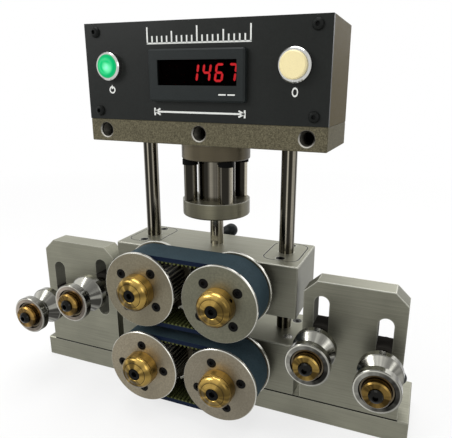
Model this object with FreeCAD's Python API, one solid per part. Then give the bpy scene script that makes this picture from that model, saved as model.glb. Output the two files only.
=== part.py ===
"""Cable length counter: two belt-and-pulley units that grip a cable, guide rollers and a counter.

Millimetres. +X runs along the cable, +Y points to the rear, +Z points up.
The origin is the centre of the base plate's underside.
"""
import FreeCAD, Part
import math
import os
from FreeCAD import Vector

# ---------------------------------------------------------------- fits and clearances
FIT_GAP = 0.02        # radial, between pieces fixed to one another
RUNNING_GAP = 0.05    # radial or sideways, where a piece turns or slides in another
SIDE_GAP = 0.3        # beside a turning or sliding face
TOOTH_GAP = 0.15      # between belt teeth and pulley grooves
HOLE_RUN_OUT = 1.0    # blind screw holes run this far past the screw

# ---------------------------------------------------------------- base
BASE_LENGTH = 331.0
BASE_DEPTH = 54.0
BASE_THICK = 18.5
EDGE_BREAK = 0.6
BENCH_BOLT_RADIUS = 4.5
BENCH_BOLT_HEAD_RADIUS = 7.5
BENCH_BOLT_HEAD_DEPTH = 9.0
BENCH_BOLT_BACK = 38.0     # behind the front plane

FRONT = -BASE_DEPTH / 2    # front plane, shared by the base, plates, blocks and head

# ---------------------------------------------------------------- roller plates
PLATE_INNER_X = 83.7
PLATE_WIDTH = 73.7
PLATE_HEIGHT = 99.7
PLATE_THICK = 16.1
PLATE_CORNER_X = 9.5
PLATE_CORNER_Z = 9.0
SLOT_WIDTH = 11.1
SLOT_LENGTH = 52.4
INNER_SLOT_X = 97.4
OUTER_SLOT_X = 143.3
INNER_SLOT_BOTTOM = 54.5
OUTER_SLOT_BOTTOM = 45.7

# ---------------------------------------------------------------- socket screws
PLATE_SCREW_RADIUS = 3.0
PLATE_SCREW_HEAD_RADIUS = 5.0
PLATE_SCREW_HEAD = 6.0
PLATE_SCREW_GRIP = 14.0
PLATE_SCREW_SPREAD = 22.0  # either side of a plate's centre line
SCREW_RADIUS = 2.0
SCREW_HEAD_RADIUS = 3.5
SCREW_HEAD = 4.0
SCREW_GRIP = 10.0
SCREW_SOCKET_RADIUS = 1.7
SCREW_SOCKET_DEPTH = 2.0
HEAD_CLEARANCE = 0.3

# button head screws: (radius, height) of the rounded head as shares of its full size
BUTTON_HEAD = ((1.0, 0.0), (1.0, 0.28), (0.84, 0.72), (0.55, 1.0))
BUTTON_SOCKET_RADIUS = 0.38    # share of the head radius
BUTTON_SOCKET_FLOOR = 0.3      # share of the head height

# ---------------------------------------------------------------- blocks
BLOCK_LENGTH = 157.0
BLOCK_DEPTH = 54.0
LOWER_BLOCK_HEIGHT = 43.0
UPPER_BLOCK_BOTTOM = 84.2
UPPER_BLOCK_HEIGHT = 41.9
BLOCK_SCREW_X = 69.3
BLOCK_SCREW_INSET = 12.9
LOWER_SHAFT_RISE = 0.9     # shafts above the middle of their block
UPPER_SHAFT_RISE = 0.25

# ---------------------------------------------------------------- guide rods and linear bearings
ROD_RADIUS = 6.0
ROD_X = 60.7
ROD_BACK = 30.0            # behind the front plane
ROD_SEAT = 30.0
ROD_CHAMFER = 0.8
LINEAR_RADIUS = 10.5
LINEAR_LENGTH = 30.0
LINEAR_FLANGE_X = 28.0
LINEAR_FLANGE_Y = 42.0
LINEAR_FLANGE_THICK = 6.0
LINEAR_FLANGE_CORNER = 8.0
LINEAR_SCREW_SPREAD = 16.0
LINEAR_POCKET_GAP = 0.2
ROD_CLEAR_RADIUS = 7.5

# ---------------------------------------------------------------- belts and pulleys
BELT_PITCH = 3.26
PULLEY_TEETH = 48
SPAN_TEETH = 20            # belt teeth along one straight strand
PITCH_LINE = 0.5           # belt pitch line above the pulley's tooth tips
TOOTH_HEIGHT = 1.25
TOOTH_ROOT_WIDTH = 1.7
TOOTH_TIP_WIDTH = 1.1
BELT_BACK = 3.4
BELT_WIDTH = 25.0
PULLEY_WIDTH = 27.2
FLANGE_RADIUS = 29.3
FLANGE_THICK = 2.0
FLANGE_RIM = 0.5
FLANGE_SCREW_CIRCLE = 18.3
FLANGE_SCREW_RADIUS = 3.75
PULLEY_STANDOFF = 7.7      # rear flange in front of the block face
SHAFT_RADIUS = 6.0
SHAFT_BOSS_RADIUS = 9.0
HUB_RADIUS = 13.3
HUB_STRAIGHT = 7.0
HUB_CONE_RADIUS = 8.8      # where the cone meets the flatter nose
HUB_CONE_END = 11.0
HUB_NOSE_RADIUS = 5.6
HUB_LENGTH = 12.2
HUB_SOCKET_RADIUS = 4.8
HUB_SOCKET_DEPTH = 5.0
HUB_SCREW_RADIUS = 2.6
SHAFT_NOSE = 4.0           # shaft end inside the hub

BEARING_RADIUS = 14.0
BEARING_WIDTH = 8.0
RACE_SHARE = 0.25          # of the radial width, for each race
SHIELD_SET = 0.5           # shields behind the face of the races
SHAFT_CLEAR_RADIUS = 8.5

# ---------------------------------------------------------------- encoder
ENCODER_RADIUS = 19.0
ENCODER_LENGTH = 34.0
ENCODER_FLANGE = 42.0
ENCODER_FLANGE_THICK = 6.0
ENCODER_CORNER = 4.0
ENCODER_SHAFT_DEPTH = 14.0
ENCODER_PLUG_RADIUS = 6.0
ENCODER_PLUG_LENGTH = 8.0
ENCODER_PLUG_INSET = 4.0   # from the rear of the housing

# ---------------------------------------------------------------- head plate and enclosure
HEAD_LENGTH = 190.0
HEAD_DEPTH = 64.0
HEAD_BOTTOM = 210.0
HEAD_THICK = 17.0
HEAD_HOLE_X = 80.7
HEAD_HOLE_RADIUS = 5.1
HEAD_HOLE_DEPTH = 22.0
HEAD_HOLE_MOUTH = 5.9
ENCLOSURE_HEIGHT = 69.5
SHELL_WALL = 2.0
PANEL_THICK = 3.0
PANEL_POST = 13.0
PANEL_POST_DEPTH = 12.0
PANEL_SCREW_X = 85.2
PANEL_SCREW_EDGE = 6.2
PANEL_SCREW_RADIUS = 2.0
PANEL_SCREW_HEAD_RADIUS = 3.9
PANEL_SCREW_HEAD = 2.4
PANEL_SCREW_LENGTH = 10.0
CABLE_HOLE_RADIUS = 6.25
CABLE_HOLE_X = 60.0
CABLE_HOLE_DROP = 18.0     # above the head plate

# ---------------------------------------------------------------- counter, lamp and button
COUNTER_WIDTH = 75.0
COUNTER_HEIGHT = 36.0
COUNTER_DROP = 19.2        # bezel top below the panel's top edge
COUNTER_PROUD = 5.0
COUNTER_EDGE = 1.2
COUNTER_BODY_WIDTH = 67.6
COUNTER_BODY_HEIGHT = 32.6
COUNTER_BODY_DEPTH = 45.0
WINDOW_WIDTH = 61.6
WINDOW_HEIGHT = 17.4
WINDOW_SHIFT_X = 1.0
WINDOW_SHIFT_Z = 1.9
WINDOW_RECESS = 1.2
WINDOW_THICK = 1.5
DISPLAY_INSET = 1.0        # display block inside the window's edges
CONTROL_DROP = 30.7        # lamp and button axes below the panel's top edge
LAMP_X = -73.0
LAMP_RING_RADIUS = 10.2
LAMP_RADIUS = 8.5
BUTTON_X = 71.5
BUTTON_RING_RADIUS = 11.3
BUTTON_RADIUS = 9.1
RING_PROUD = 5.0
RING_CHAMFER = 0.8
RING_SEAT = 1.2            # ring floor that the lens sits on, in front of the panel
LENS_PROUD = 3.0           # lens dome in front of its ring
BUTTON_PROUD = 3.2
BUTTON_TRAVEL = 2.5
BARREL_WALL = 1.4
BARREL_LENGTH = 22.0
BARREL_FLOOR = 3.0
LENS_STEM = 6.0

# ---------------------------------------------------------------- air cylinder
CYLINDER_BACK = 30.0
CAP_RADIUS = 27.25
CAP_THICK = 12.5
CAP_ROUND = 1.2
SAME_HEIGHT = 0.01         # an edge this near a height lies at it
CYLINDER_BOTTOM = 152.3
TUBE_RADIUS = 14.8
TUBE_BORE = 12.5
POST_RADIUS = 5.2
POST_OFFSET = 15.3
POST_RING_RADIUS = 6.1
POST_RING_HEIGHT = 4.2
PISTON_RADIAL_GAP = 0.08
PISTON_THICK = 13.2
PISTON_END_GAP = 0.2
PISTON_ROD_RADIUS = 5.5
ROD_STUD_RADIUS = 4.0
ROD_STUD_LENGTH = 14.0
ROD_COLLAR_HEIGHT = 2.2
ROD_FLAT_HEIGHT = 4.5
ROD_FLAT_START = 0.5       # above the rod's shoulder
ROD_FLAT_WIDTH = 9.4
PORT_RADIUS = 2.1
PORT_DEPTH = 8.0

# ---------------------------------------------------------------- guide rollers
ROLLER_RADIUS = 15.6
ROLLER_WAIST_RADIUS = 8.8
ROLLER_WAIST_WIDTH = 0.8
ROLLER_RIM = 5.4
ROLLER_EDGE = 0.5
ROLLER_WIDTH = 25.1
ROLLER_STANDOFF = 14.6     # rear face in front of the plate
ROLLER_RECESS_RADIUS = 11.65
ROLLER_RECESS_DEPTH = 1.2
ROLLER_BORE = 6.0
ROLLER_BEARING_RADIUS = 11.0
ROLLER_BEARING_WIDTH = 7.0
AXLE_RADIUS = 4.0
SPACER_RADIUS = 7.6
CAP_WASHER_RADIUS = 9.35
CAP_WASHER_THICK = 5.4
CAP_WASHER_ROUND = 0.9
CAP_SCREW_RADIUS = 4.85
CAP_SCREW_HEIGHT = 2.6
CAP_SCREW_SHANK = 2.5
CAP_SCREW_GRIP = 14.0
SLIDE_BLOCK_HEIGHT = 19.0
# node suffix: (axle x, axle height, clamp lever's angle seen from the front)
ROLLERS = {
    "left_outer": (-OUTER_SLOT_X, 63.5, -115.0),
    "left_inner": (-INNER_SLOT_X, 83.0, 150.0),
    "right_inner": (INNER_SLOT_X, 73.9, 45.0),
    "right_outer": (OUTER_SLOT_X, 66.0, -67.0),
}

# ---------------------------------------------------------------- clamp levers
LEVER_HUB_RADIUS = 7.0
LEVER_HUB_HEIGHT = 8.5
LEVER_HUB_NOSE = 5.0
LEVER_REACH = 33.0
LEVER_NECK = 3.4
LEVER_TIP = 4.9
LEVER_TILT = 15.0
STUD_RADIUS = 3.0
STUD_LENGTH = 6.0
LOCK_Z = 90.0
LOCK_ANGLE = 32.0
LOCK_REACH = 68.0
LOCK_HUB_RADIUS = 9.0
LOCK_HUB_HEIGHT = 14.0
LOCK_HUB_NOSE = 6.5
LOCK_NECK = 4.0
LOCK_TIP = 6.0
LOCK_TILT = 5.0
HUB_CONE_START = 0.45      # share of a lever hub's height
ARM_ROOT = 0.5             # share of a lever hub's height

# ---------------------------------------------------------------- derived places
LOWER_BLOCK_TOP = BASE_THICK + LOWER_BLOCK_HEIGHT
UPPER_BLOCK_TOP = UPPER_BLOCK_BOTTOM + UPPER_BLOCK_HEIGHT
REAR = FRONT + BLOCK_DEPTH
ROD_Y = FRONT + ROD_BACK
HEAD_TOP = HEAD_BOTTOM + HEAD_THICK
ENCLOSURE_TOP = HEAD_TOP + ENCLOSURE_HEIGHT
PLATE_TOP = BASE_THICK + PLATE_HEIGHT
CONTROL_Z = ENCLOSURE_TOP - CONTROL_DROP
COUNTER_Z = ENCLOSURE_TOP - COUNTER_DROP - COUNTER_HEIGHT / 2
PANEL_SCREW_ROWS = (HEAD_TOP + PANEL_SCREW_EDGE, ENCLOSURE_TOP - PANEL_SCREW_EDGE)

SHAFT_X = SPAN_TEETH * BELT_PITCH / 2
PULLEY_RADIUS = PULLEY_TEETH * BELT_PITCH / (2 * math.pi) - PITCH_LINE
BELT_LAND = PULLEY_RADIUS + TOOTH_GAP
REAR_FLANGE_Y = FRONT - PULLEY_STANDOFF - FLANGE_THICK
TOOTH_FRONT_Y = REAR_FLANGE_Y - PULLEY_WIDTH
PULLEY_FRONT_Y = TOOTH_FRONT_Y - FLANGE_THICK
BELT_FRONT_Y = TOOTH_FRONT_Y + (PULLEY_WIDTH - BELT_WIDTH) / 2
LOWER_SHAFT_Z = BASE_THICK + LOWER_BLOCK_HEIGHT / 2 + LOWER_SHAFT_RISE
UPPER_SHAFT_Z = UPPER_BLOCK_BOTTOM + UPPER_BLOCK_HEIGHT / 2 + UPPER_SHAFT_RISE
# node suffix: (shaft x, shaft z, first flange screw's angle)
PULLEYS = {
    "upper_left": (-SHAFT_X, UPPER_SHAFT_Z, 53.0),
    "upper_right": (SHAFT_X, UPPER_SHAFT_Z, 38.0),
    "lower_left": (-SHAFT_X, LOWER_SHAFT_Z, 0.0),
    "lower_right": (SHAFT_X, LOWER_SHAFT_Z, 18.5),
}
ENCODER_PULLEY = "lower_right"

CYLINDER_Y = FRONT + CYLINDER_BACK
BOTTOM_CAP_TOP = CYLINDER_BOTTOM + CAP_THICK
TOP_CAP_BOTTOM = HEAD_BOTTOM - CAP_THICK
POSTS = [(x, CYLINDER_Y + y) for x in (-POST_OFFSET, POST_OFFSET) for y in (-POST_OFFSET, POST_OFFSET)]


# ---------------------------------------------------------------- shape helpers
def box(x0, x1, y0, y1, z0, z1):
    return Part.makeBox(x1 - x0, y1 - y0, z1 - z0, Vector(x0, y0, z0))


def rod_y(radius, y0, y1, x, z):
    return Part.makeCylinder(radius, y1 - y0, Vector(x, y0, z), Vector(0, 1, 0))


def rod_z(radius, z0, z1, x, y):
    return Part.makeCylinder(radius, z1 - z0, Vector(x, y, z0), Vector(0, 0, 1))


def extrude_y(points, y0, y1):
    """Prism of an outline given as (x, z) points, between two depths."""
    ring = [Vector(x, y0, z) for x, z in points]
    face = Part.Face(Part.makePolygon(ring + ring[:1]))
    return face.extrude(Vector(0, y1 - y0, 0))


def turned_y(profile, x, z):
    """Solid turned about a Y axis at (x, z) from (radius, y) points."""
    ring = [Vector(x + r, y, z) for r, y in profile]
    face = Part.Face(Part.makePolygon(ring + ring[:1]))
    return face.revolve(Vector(x, 0, z), Vector(0, 1, 0), 360)


def slot_y(x, z0, z1, width, y0, y1):
    """Vertical round-ended slot, cut through from y0 to y1."""
    r = width / 2
    straight = box(x - r, x + r, y0, y1, z0 + r, z1 - r)
    return straight.fuse([rod_y(r, y0, y1, x, z0 + r), rod_y(r, y0, y1, x, z1 - r)]).removeSplitter()


def rounded_plate_z(x, y, width, depth, corner, z0, z1):
    """Flat plate with four rounded upright edges."""
    plate = box(x - width / 2, x + width / 2, y - depth / 2, y + depth / 2, z0, z1)
    upright = [e for e in plate.Edges if abs(e.tangentAt(e.FirstParameter).z) > 0.99]
    return plate.makeFillet(corner, upright)


def broken_box(x0, x1, y0, y1, z0, z1, size=EDGE_BREAK):
    """Machined block with every edge lightly chamfered."""
    block = box(x0, x1, y0, y1, z0, z1)
    return block.makeChamfer(size, block.Edges)


def socket_screw(radius, head_radius, head, length):
    """Socket head screw along -Z, its head's underside at the origin."""
    shank = rod_z(radius, -length, 0, 0, 0)
    top = rod_z(head_radius, 0, head, 0, 0)
    socket = rod_z(SCREW_SOCKET_RADIUS, head - SCREW_SOCKET_DEPTH, head, 0, 0)
    return shank.fuse(top).cut(socket)


def button_screw(head_radius, height, radius, length, x, y, z):
    """Button head screw along +Y, its head's underside at (x, y, z)."""
    dome = [(head_radius * r, y - height * h) for r, h in BUTTON_HEAD]
    head = turned_y([(0, y)] + dome + [(0, y - height)], x, z)
    shank = rod_y(radius, y, y + length, x, z)
    socket = rod_y(BUTTON_SOCKET_RADIUS * head_radius, y - height, y - BUTTON_SOCKET_FLOOR * height, x, z)
    return head.fuse(shank).cut(socket)


def placed(shape, x, y, z):
    copy = shape.copy()
    copy.translate(Vector(x, y, z))
    return copy


# ---------------------------------------------------------------- base, plates and blocks
def block_screw_places():
    return [(x, y) for x in (-BLOCK_SCREW_X, BLOCK_SCREW_X)
            for y in (FRONT + BLOCK_SCREW_INSET, REAR - BLOCK_SCREW_INSET)]


def plate_screw_places():
    centre = PLATE_INNER_X + PLATE_WIDTH / 2
    return [side * (centre + shift) for side in (-1, 1)
            for shift in (-PLATE_SCREW_SPREAD, PLATE_SCREW_SPREAD)]


def base_plate():
    half = BASE_LENGTH / 2
    plate = broken_box(-half, half, FRONT, FRONT + BASE_DEPTH, 0, BASE_THICK)
    cuts = []
    seat = PLATE_SCREW_HEAD + HEAD_CLEARANCE
    for x in plate_screw_places():
        y = FRONT + PLATE_THICK / 2
        cuts.append(rod_z(PLATE_SCREW_RADIUS + FIT_GAP, 0, BASE_THICK, x, y))
        cuts.append(rod_z(PLATE_SCREW_HEAD_RADIUS + HEAD_CLEARANCE, 0, seat, x, y))
    for x, y in block_screw_places():
        floor = BASE_THICK - SCREW_GRIP - HOLE_RUN_OUT
        cuts.append(rod_z(SCREW_RADIUS + FIT_GAP, floor, BASE_THICK, x, y))
    for side in (-1, 1):
        x = side * (PLATE_INNER_X + PLATE_WIDTH / 2)
        y = FRONT + BENCH_BOLT_BACK
        cuts.append(rod_z(BENCH_BOLT_RADIUS, 0, BASE_THICK, x, y))
        cuts.append(rod_z(BENCH_BOLT_HEAD_RADIUS, BASE_THICK - BENCH_BOLT_HEAD_DEPTH, BASE_THICK, x, y))
    return plate.cut(cuts)


def base_screws():
    length = BASE_THICK - PLATE_SCREW_HEAD - HEAD_CLEARANCE + PLATE_SCREW_GRIP
    screw = socket_screw(PLATE_SCREW_RADIUS, PLATE_SCREW_HEAD_RADIUS, PLATE_SCREW_HEAD, length)
    screw.rotate(Vector(0, 0, 0), Vector(1, 0, 0), 180)
    y = FRONT + PLATE_THICK / 2
    z = PLATE_SCREW_HEAD + HEAD_CLEARANCE
    return Part.makeCompound([placed(screw, x, y, z) for x in plate_screw_places()])


def roller_plate(side):
    inner, outer = side * PLATE_INNER_X, side * (PLATE_INNER_X + PLATE_WIDTH)
    outline = [
        (inner, BASE_THICK),
        (outer, BASE_THICK),
        (outer, PLATE_TOP - PLATE_CORNER_Z),
        (outer - side * PLATE_CORNER_X, PLATE_TOP),
        (inner + side * PLATE_CORNER_X, PLATE_TOP),
        (inner, PLATE_TOP - PLATE_CORNER_Z),
    ]
    back = FRONT + PLATE_THICK
    plate = extrude_y(outline, FRONT, back)
    cuts = []
    for x, bottom in ((INNER_SLOT_X, INNER_SLOT_BOTTOM), (OUTER_SLOT_X, OUTER_SLOT_BOTTOM)):
        cuts.append(slot_y(side * x, bottom, bottom + SLOT_LENGTH, SLOT_WIDTH, FRONT, back))
    top = BASE_THICK + PLATE_SCREW_GRIP + HOLE_RUN_OUT
    for x in plate_screw_places():
        if x * side > 0:
            cuts.append(rod_z(PLATE_SCREW_RADIUS + FIT_GAP, BASE_THICK, top, x, FRONT + PLATE_THICK / 2))
    return plate.cut(cuts)


def shaft_bores(z):
    """Bearing seats at both faces of a block, joined by a clear bore, for its two shafts."""
    cuts = []
    for x in (-SHAFT_X, SHAFT_X):
        cuts.append(rod_y(SHAFT_CLEAR_RADIUS, FRONT, REAR, x, z))
        cuts.append(rod_y(BEARING_RADIUS + FIT_GAP, FRONT, FRONT + BEARING_WIDTH, x, z))
        cuts.append(rod_y(BEARING_RADIUS + FIT_GAP, REAR - BEARING_WIDTH, REAR, x, z))
    return cuts


def shaft_bearings(z):
    """Four ball bearings, two to a shaft, with shields set back between the races."""
    rings = []
    half = BEARING_WIDTH / 2
    outer, inner = BEARING_RADIUS, SHAFT_RADIUS + RUNNING_GAP
    race = (outer - inner) * RACE_SHARE
    shield = SHIELD_SET - half
    profile = [
        (inner, -half), (inner + race, -half), (inner + race, shield),
        (outer - race, shield), (outer - race, -half), (outer, -half),
        (outer, half), (inner, half),
    ]
    for x in (-SHAFT_X, SHAFT_X):
        for facing, y in ((1, FRONT + half), (-1, REAR - half)):
            rings.append(turned_y([(r, y + facing * d) for r, d in profile], x, z))
    return Part.makeCompound(rings)


def lower_block():
    half = BLOCK_LENGTH / 2
    block = broken_box(-half, half, FRONT, REAR, BASE_THICK, LOWER_BLOCK_TOP)
    cuts = shaft_bores(LOWER_SHAFT_Z)
    for x in (-ROD_X, ROD_X):
        cuts.append(rod_z(ROD_RADIUS + FIT_GAP, LOWER_BLOCK_TOP - ROD_SEAT, LOWER_BLOCK_TOP, x, ROD_Y))
    for x, y in block_screw_places():
        cuts.append(rod_z(SCREW_RADIUS + FIT_GAP, BASE_THICK, LOWER_BLOCK_TOP, x, y))
        seat = LOWER_BLOCK_TOP - SCREW_HEAD - HEAD_CLEARANCE
        cuts.append(rod_z(SCREW_HEAD_RADIUS + HEAD_CLEARANCE, seat, LOWER_BLOCK_TOP, x, y))
    return block.cut(cuts)


def block_screws():
    length = LOWER_BLOCK_HEIGHT - SCREW_HEAD - HEAD_CLEARANCE + SCREW_GRIP
    screw = socket_screw(SCREW_RADIUS, SCREW_HEAD_RADIUS, SCREW_HEAD, length)
    z = LOWER_BLOCK_TOP - SCREW_HEAD - HEAD_CLEARANCE
    return Part.makeCompound([placed(screw, x, y, z) for x, y in block_screw_places()])


def guide_rods():
    rods = []
    for x in (-ROD_X, ROD_X):
        rod = rod_z(ROD_RADIUS, LOWER_BLOCK_TOP - ROD_SEAT, HEAD_TOP, x, ROD_Y)
        ends = [e for e in rod.Edges if isinstance(e.Curve, Part.Circle)]
        rods.append(rod.makeChamfer(ROD_CHAMFER, ends))
    return Part.makeCompound(rods)


# ---------------------------------------------------------------- carriage
def linear_screw_places():
    return [(x, ROD_Y + y) for x in (-ROD_X, ROD_X) for y in (-LINEAR_SCREW_SPREAD, LINEAR_SCREW_SPREAD)]


def linear_flange(gap, z0, z1):
    """The two oblong bearing flanges, or with a gap the pockets that hold them."""
    return [rounded_plate_z(x, ROD_Y, LINEAR_FLANGE_X + 2 * gap, LINEAR_FLANGE_Y + 2 * gap,
                            LINEAR_FLANGE_CORNER + gap, z0, z1) for x in (-ROD_X, ROD_X)]


def upper_block():
    half = BLOCK_LENGTH / 2
    top = UPPER_BLOCK_TOP
    block = broken_box(-half, half, FRONT, REAR, UPPER_BLOCK_BOTTOM, top)
    cuts = shaft_bores(UPPER_SHAFT_Z)
    cuts += linear_flange(LINEAR_POCKET_GAP, top - LINEAR_FLANGE_THICK, top)
    for x in (-ROD_X, ROD_X):
        cuts.append(rod_z(LINEAR_RADIUS + FIT_GAP, top - LINEAR_LENGTH, top, x, ROD_Y))
        cuts.append(rod_z(ROD_CLEAR_RADIUS, UPPER_BLOCK_BOTTOM, top, x, ROD_Y))
    floor = top - LINEAR_FLANGE_THICK - SCREW_GRIP - HOLE_RUN_OUT
    for x, y in linear_screw_places():
        cuts.append(rod_z(SCREW_RADIUS + FIT_GAP, floor, top, x, y))
    floor = top - ROD_STUD_LENGTH - HOLE_RUN_OUT
    cuts.append(rod_z(ROD_STUD_RADIUS + FIT_GAP, floor, top, 0, CYLINDER_Y))
    cuts.append(rod_y(STUD_RADIUS + RUNNING_GAP, ROD_Y, REAR, -ROD_X, LOCK_Z))
    return block.cut(cuts)


def linear_bearings():
    top = UPPER_BLOCK_TOP
    solids = []
    for x, flange in zip((-ROD_X, ROD_X), linear_flange(0, top - LINEAR_FLANGE_THICK, top)):
        body = flange.fuse(rod_z(LINEAR_RADIUS, top - LINEAR_LENGTH, top, x, ROD_Y)).removeSplitter()
        cuts = [rod_z(ROD_RADIUS + RUNNING_GAP, top - LINEAR_LENGTH, top, x, ROD_Y)]
        for y in (ROD_Y - LINEAR_SCREW_SPREAD, ROD_Y + LINEAR_SCREW_SPREAD):
            cuts.append(rod_z(SCREW_RADIUS + FIT_GAP, top - LINEAR_FLANGE_THICK, top, x, y))
            cuts.append(rod_z(SCREW_HEAD_RADIUS + FIT_GAP, top - SCREW_HEAD, top, x, y))
        solids.append(body.cut(cuts))
    return Part.makeCompound(solids)


def bearing_screws():
    length = LINEAR_FLANGE_THICK - SCREW_HEAD + SCREW_GRIP
    screw = socket_screw(SCREW_RADIUS, SCREW_HEAD_RADIUS, SCREW_HEAD, length)
    z = UPPER_BLOCK_TOP - SCREW_HEAD
    return Part.makeCompound([placed(screw, x, y, z) for x, y in linear_screw_places()])


def piston_rod():
    """Rod with its stud, wrench flats and piston, and the collar under it on the block."""
    top = UPPER_BLOCK_TOP
    shoulder = top + ROD_COLLAR_HEIGHT
    piston_bottom = BOTTOM_CAP_TOP + PISTON_END_GAP
    rod = rod_z(PISTON_ROD_RADIUS, shoulder, piston_bottom, 0, CYLINDER_Y)
    flats_bottom = shoulder + ROD_FLAT_START
    flats_top = flats_bottom + ROD_FLAT_HEIGHT
    for side in (-1, 1):
        face = side * ROD_FLAT_WIDTH / 2
        edge = side * PISTON_ROD_RADIUS
        y0, y1 = sorted((CYLINDER_Y + face, CYLINDER_Y + edge))
        rod = rod.cut(box(-PISTON_ROD_RADIUS, PISTON_ROD_RADIUS, y0, y1, flats_bottom, flats_top))
    stud = rod_z(ROD_STUD_RADIUS, top - ROD_STUD_LENGTH, shoulder, 0, CYLINDER_Y)
    piston_top = piston_bottom + PISTON_THICK
    piston = rod_z(TUBE_BORE - PISTON_RADIAL_GAP, piston_bottom, piston_top, 0, CYLINDER_Y)
    collar = rod_z(PISTON_ROD_RADIUS, top, shoulder, 0, CYLINDER_Y)
    collar = collar.cut(rod_z(ROD_STUD_RADIUS + FIT_GAP, top, shoulder, 0, CYLINDER_Y))
    return Part.makeCompound([rod.fuse([stud, piston]).removeSplitter(), collar])


# ---------------------------------------------------------------- belts and pulleys
def polar(radius, angle):
    return radius * math.cos(angle), radius * math.sin(angle)


def tooth(root_width, tip_width, root, tip):
    """Half-open trapezoid as (sideways, outwards) points, from its left root to its right root."""
    return [(-root_width / 2, root), (-tip_width / 2, tip), (tip_width / 2, tip), (root_width / 2, root)]


def around(outline, angle):
    """Turn (sideways, outwards) points so that outwards points at the angle."""
    c, s = math.cos(angle), math.sin(angle)
    return [(out * c + side * s, out * s - side * c) for side, out in outline]


def groove():
    gap = TOOTH_GAP
    return tooth(TOOTH_ROOT_WIDTH + 2 * gap, TOOTH_TIP_WIDTH + 2 * gap,
                 PULLEY_RADIUS, PULLEY_RADIUS - TOOTH_HEIGHT)


def pulley_outline():
    points = []
    for i in range(PULLEY_TEETH):
        points += around(groove(), -2 * math.pi * i / PULLEY_TEETH)
    return points


def belt_inside():
    """Toothed inner outline of a belt: two half turns joined by two straight strands."""
    one = tooth(TOOTH_ROOT_WIDTH, TOOTH_TIP_WIDTH, BELT_LAND, BELT_LAND - TOOTH_HEIGHT)
    half_turn = PULLEY_TEETH // 2
    points = []
    for i in range(SPAN_TEETH):
        points += [(x - SHAFT_X + i * BELT_PITCH, z) for x, z in around(one, math.pi / 2)]
    for i in range(half_turn):
        angle = math.pi / 2 - math.pi * i / half_turn
        points += [(x + SHAFT_X, z) for x, z in around(one, angle)]
    return points + [(-x, -z) for x, z in points]


def belt(shaft_z):
    back = BELT_LAND + BELT_BACK
    y0, y1 = BELT_FRONT_Y, BELT_FRONT_Y + BELT_WIDTH
    top, bottom = shaft_z + back, shaft_z - back
    corners = [Vector(-SHAFT_X, y0, top), Vector(SHAFT_X, y0, top),
               Vector(SHAFT_X, y0, bottom), Vector(-SHAFT_X, y0, bottom)]
    right = Vector(SHAFT_X + back, y0, shaft_z)
    left = Vector(-SHAFT_X - back, y0, shaft_z)
    loop = Part.Wire([
        Part.LineSegment(corners[0], corners[1]).toShape(),
        Part.Arc(corners[1], right, corners[2]).toShape(),
        Part.LineSegment(corners[2], corners[3]).toShape(),
        Part.Arc(corners[3], left, corners[0]).toShape(),
    ])
    outer = Part.Face(loop).extrude(Vector(0, y1 - y0, 0))
    inner = extrude_y([(x, z + shaft_z) for x, z in belt_inside()], y0, y1)
    return outer.cut(inner)


def toothed_pulley(name):
    """Toothed pulley turned in one piece with its shaft."""
    x, z, _ = PULLEYS[name]
    wheel = extrude_y([(px + x, pz + z) for px, pz in pulley_outline()], TOOTH_FRONT_Y, REAR_FLANGE_Y)
    tail = REAR + ENCODER_SHAFT_DEPTH - SIDE_GAP if name == ENCODER_PULLEY else REAR
    shaft = rod_y(SHAFT_RADIUS, PULLEY_FRONT_Y - SHAFT_NOSE, tail, x, z)
    boss = rod_y(SHAFT_BOSS_RADIUS, REAR_FLANGE_Y + FLANGE_THICK, FRONT - SIDE_GAP, x, z)
    return wheel.fuse([shaft, boss]).removeSplitter()


def flange_disc(y, x, z):
    rim = FLANGE_RIM
    bore = SHAFT_RADIUS + FIT_GAP
    return turned_y([
        (bore, y), (FLANGE_RADIUS - rim, y), (FLANGE_RADIUS, y + rim),
        (FLANGE_RADIUS, y + FLANGE_THICK), (bore, y + FLANGE_THICK),
    ], x, z)


def pulley_flanges(name):
    x, z, first = PULLEYS[name]
    front = flange_disc(PULLEY_FRONT_Y, x, z)
    holes = []
    for i in range(4):
        dx, dz = polar(FLANGE_SCREW_CIRCLE, math.radians(first + 90 * i))
        holes.append(rod_y(FLANGE_SCREW_RADIUS, PULLEY_FRONT_Y, TOOTH_FRONT_Y, x + dx, z + dz))
    rear = flange_disc(REAR_FLANGE_Y, x, z)
    return Part.makeCompound([front.cut(holes), rear])


def pulley_hub(name):
    """Brass hub nut: a straight collar, a cone, a flatter nose and a socket for its screw."""
    x, z, _ = PULLEYS[name]
    back = PULLEY_FRONT_Y
    nose_end = back - HUB_LENGTH
    hub = turned_y([
        (0, back), (HUB_RADIUS, back), (HUB_RADIUS, back - HUB_STRAIGHT),
        (HUB_CONE_RADIUS, back - HUB_CONE_END), (HUB_NOSE_RADIUS, nose_end), (0, nose_end),
    ], x, z)
    return hub.cut([
        rod_y(HUB_SOCKET_RADIUS, nose_end, nose_end + HUB_SOCKET_DEPTH, x, z),
        rod_y(HUB_SCREW_RADIUS, nose_end, back, x, z),
        rod_y(SHAFT_RADIUS + FIT_GAP, back - SHAFT_NOSE, back, x, z),
    ])


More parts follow.
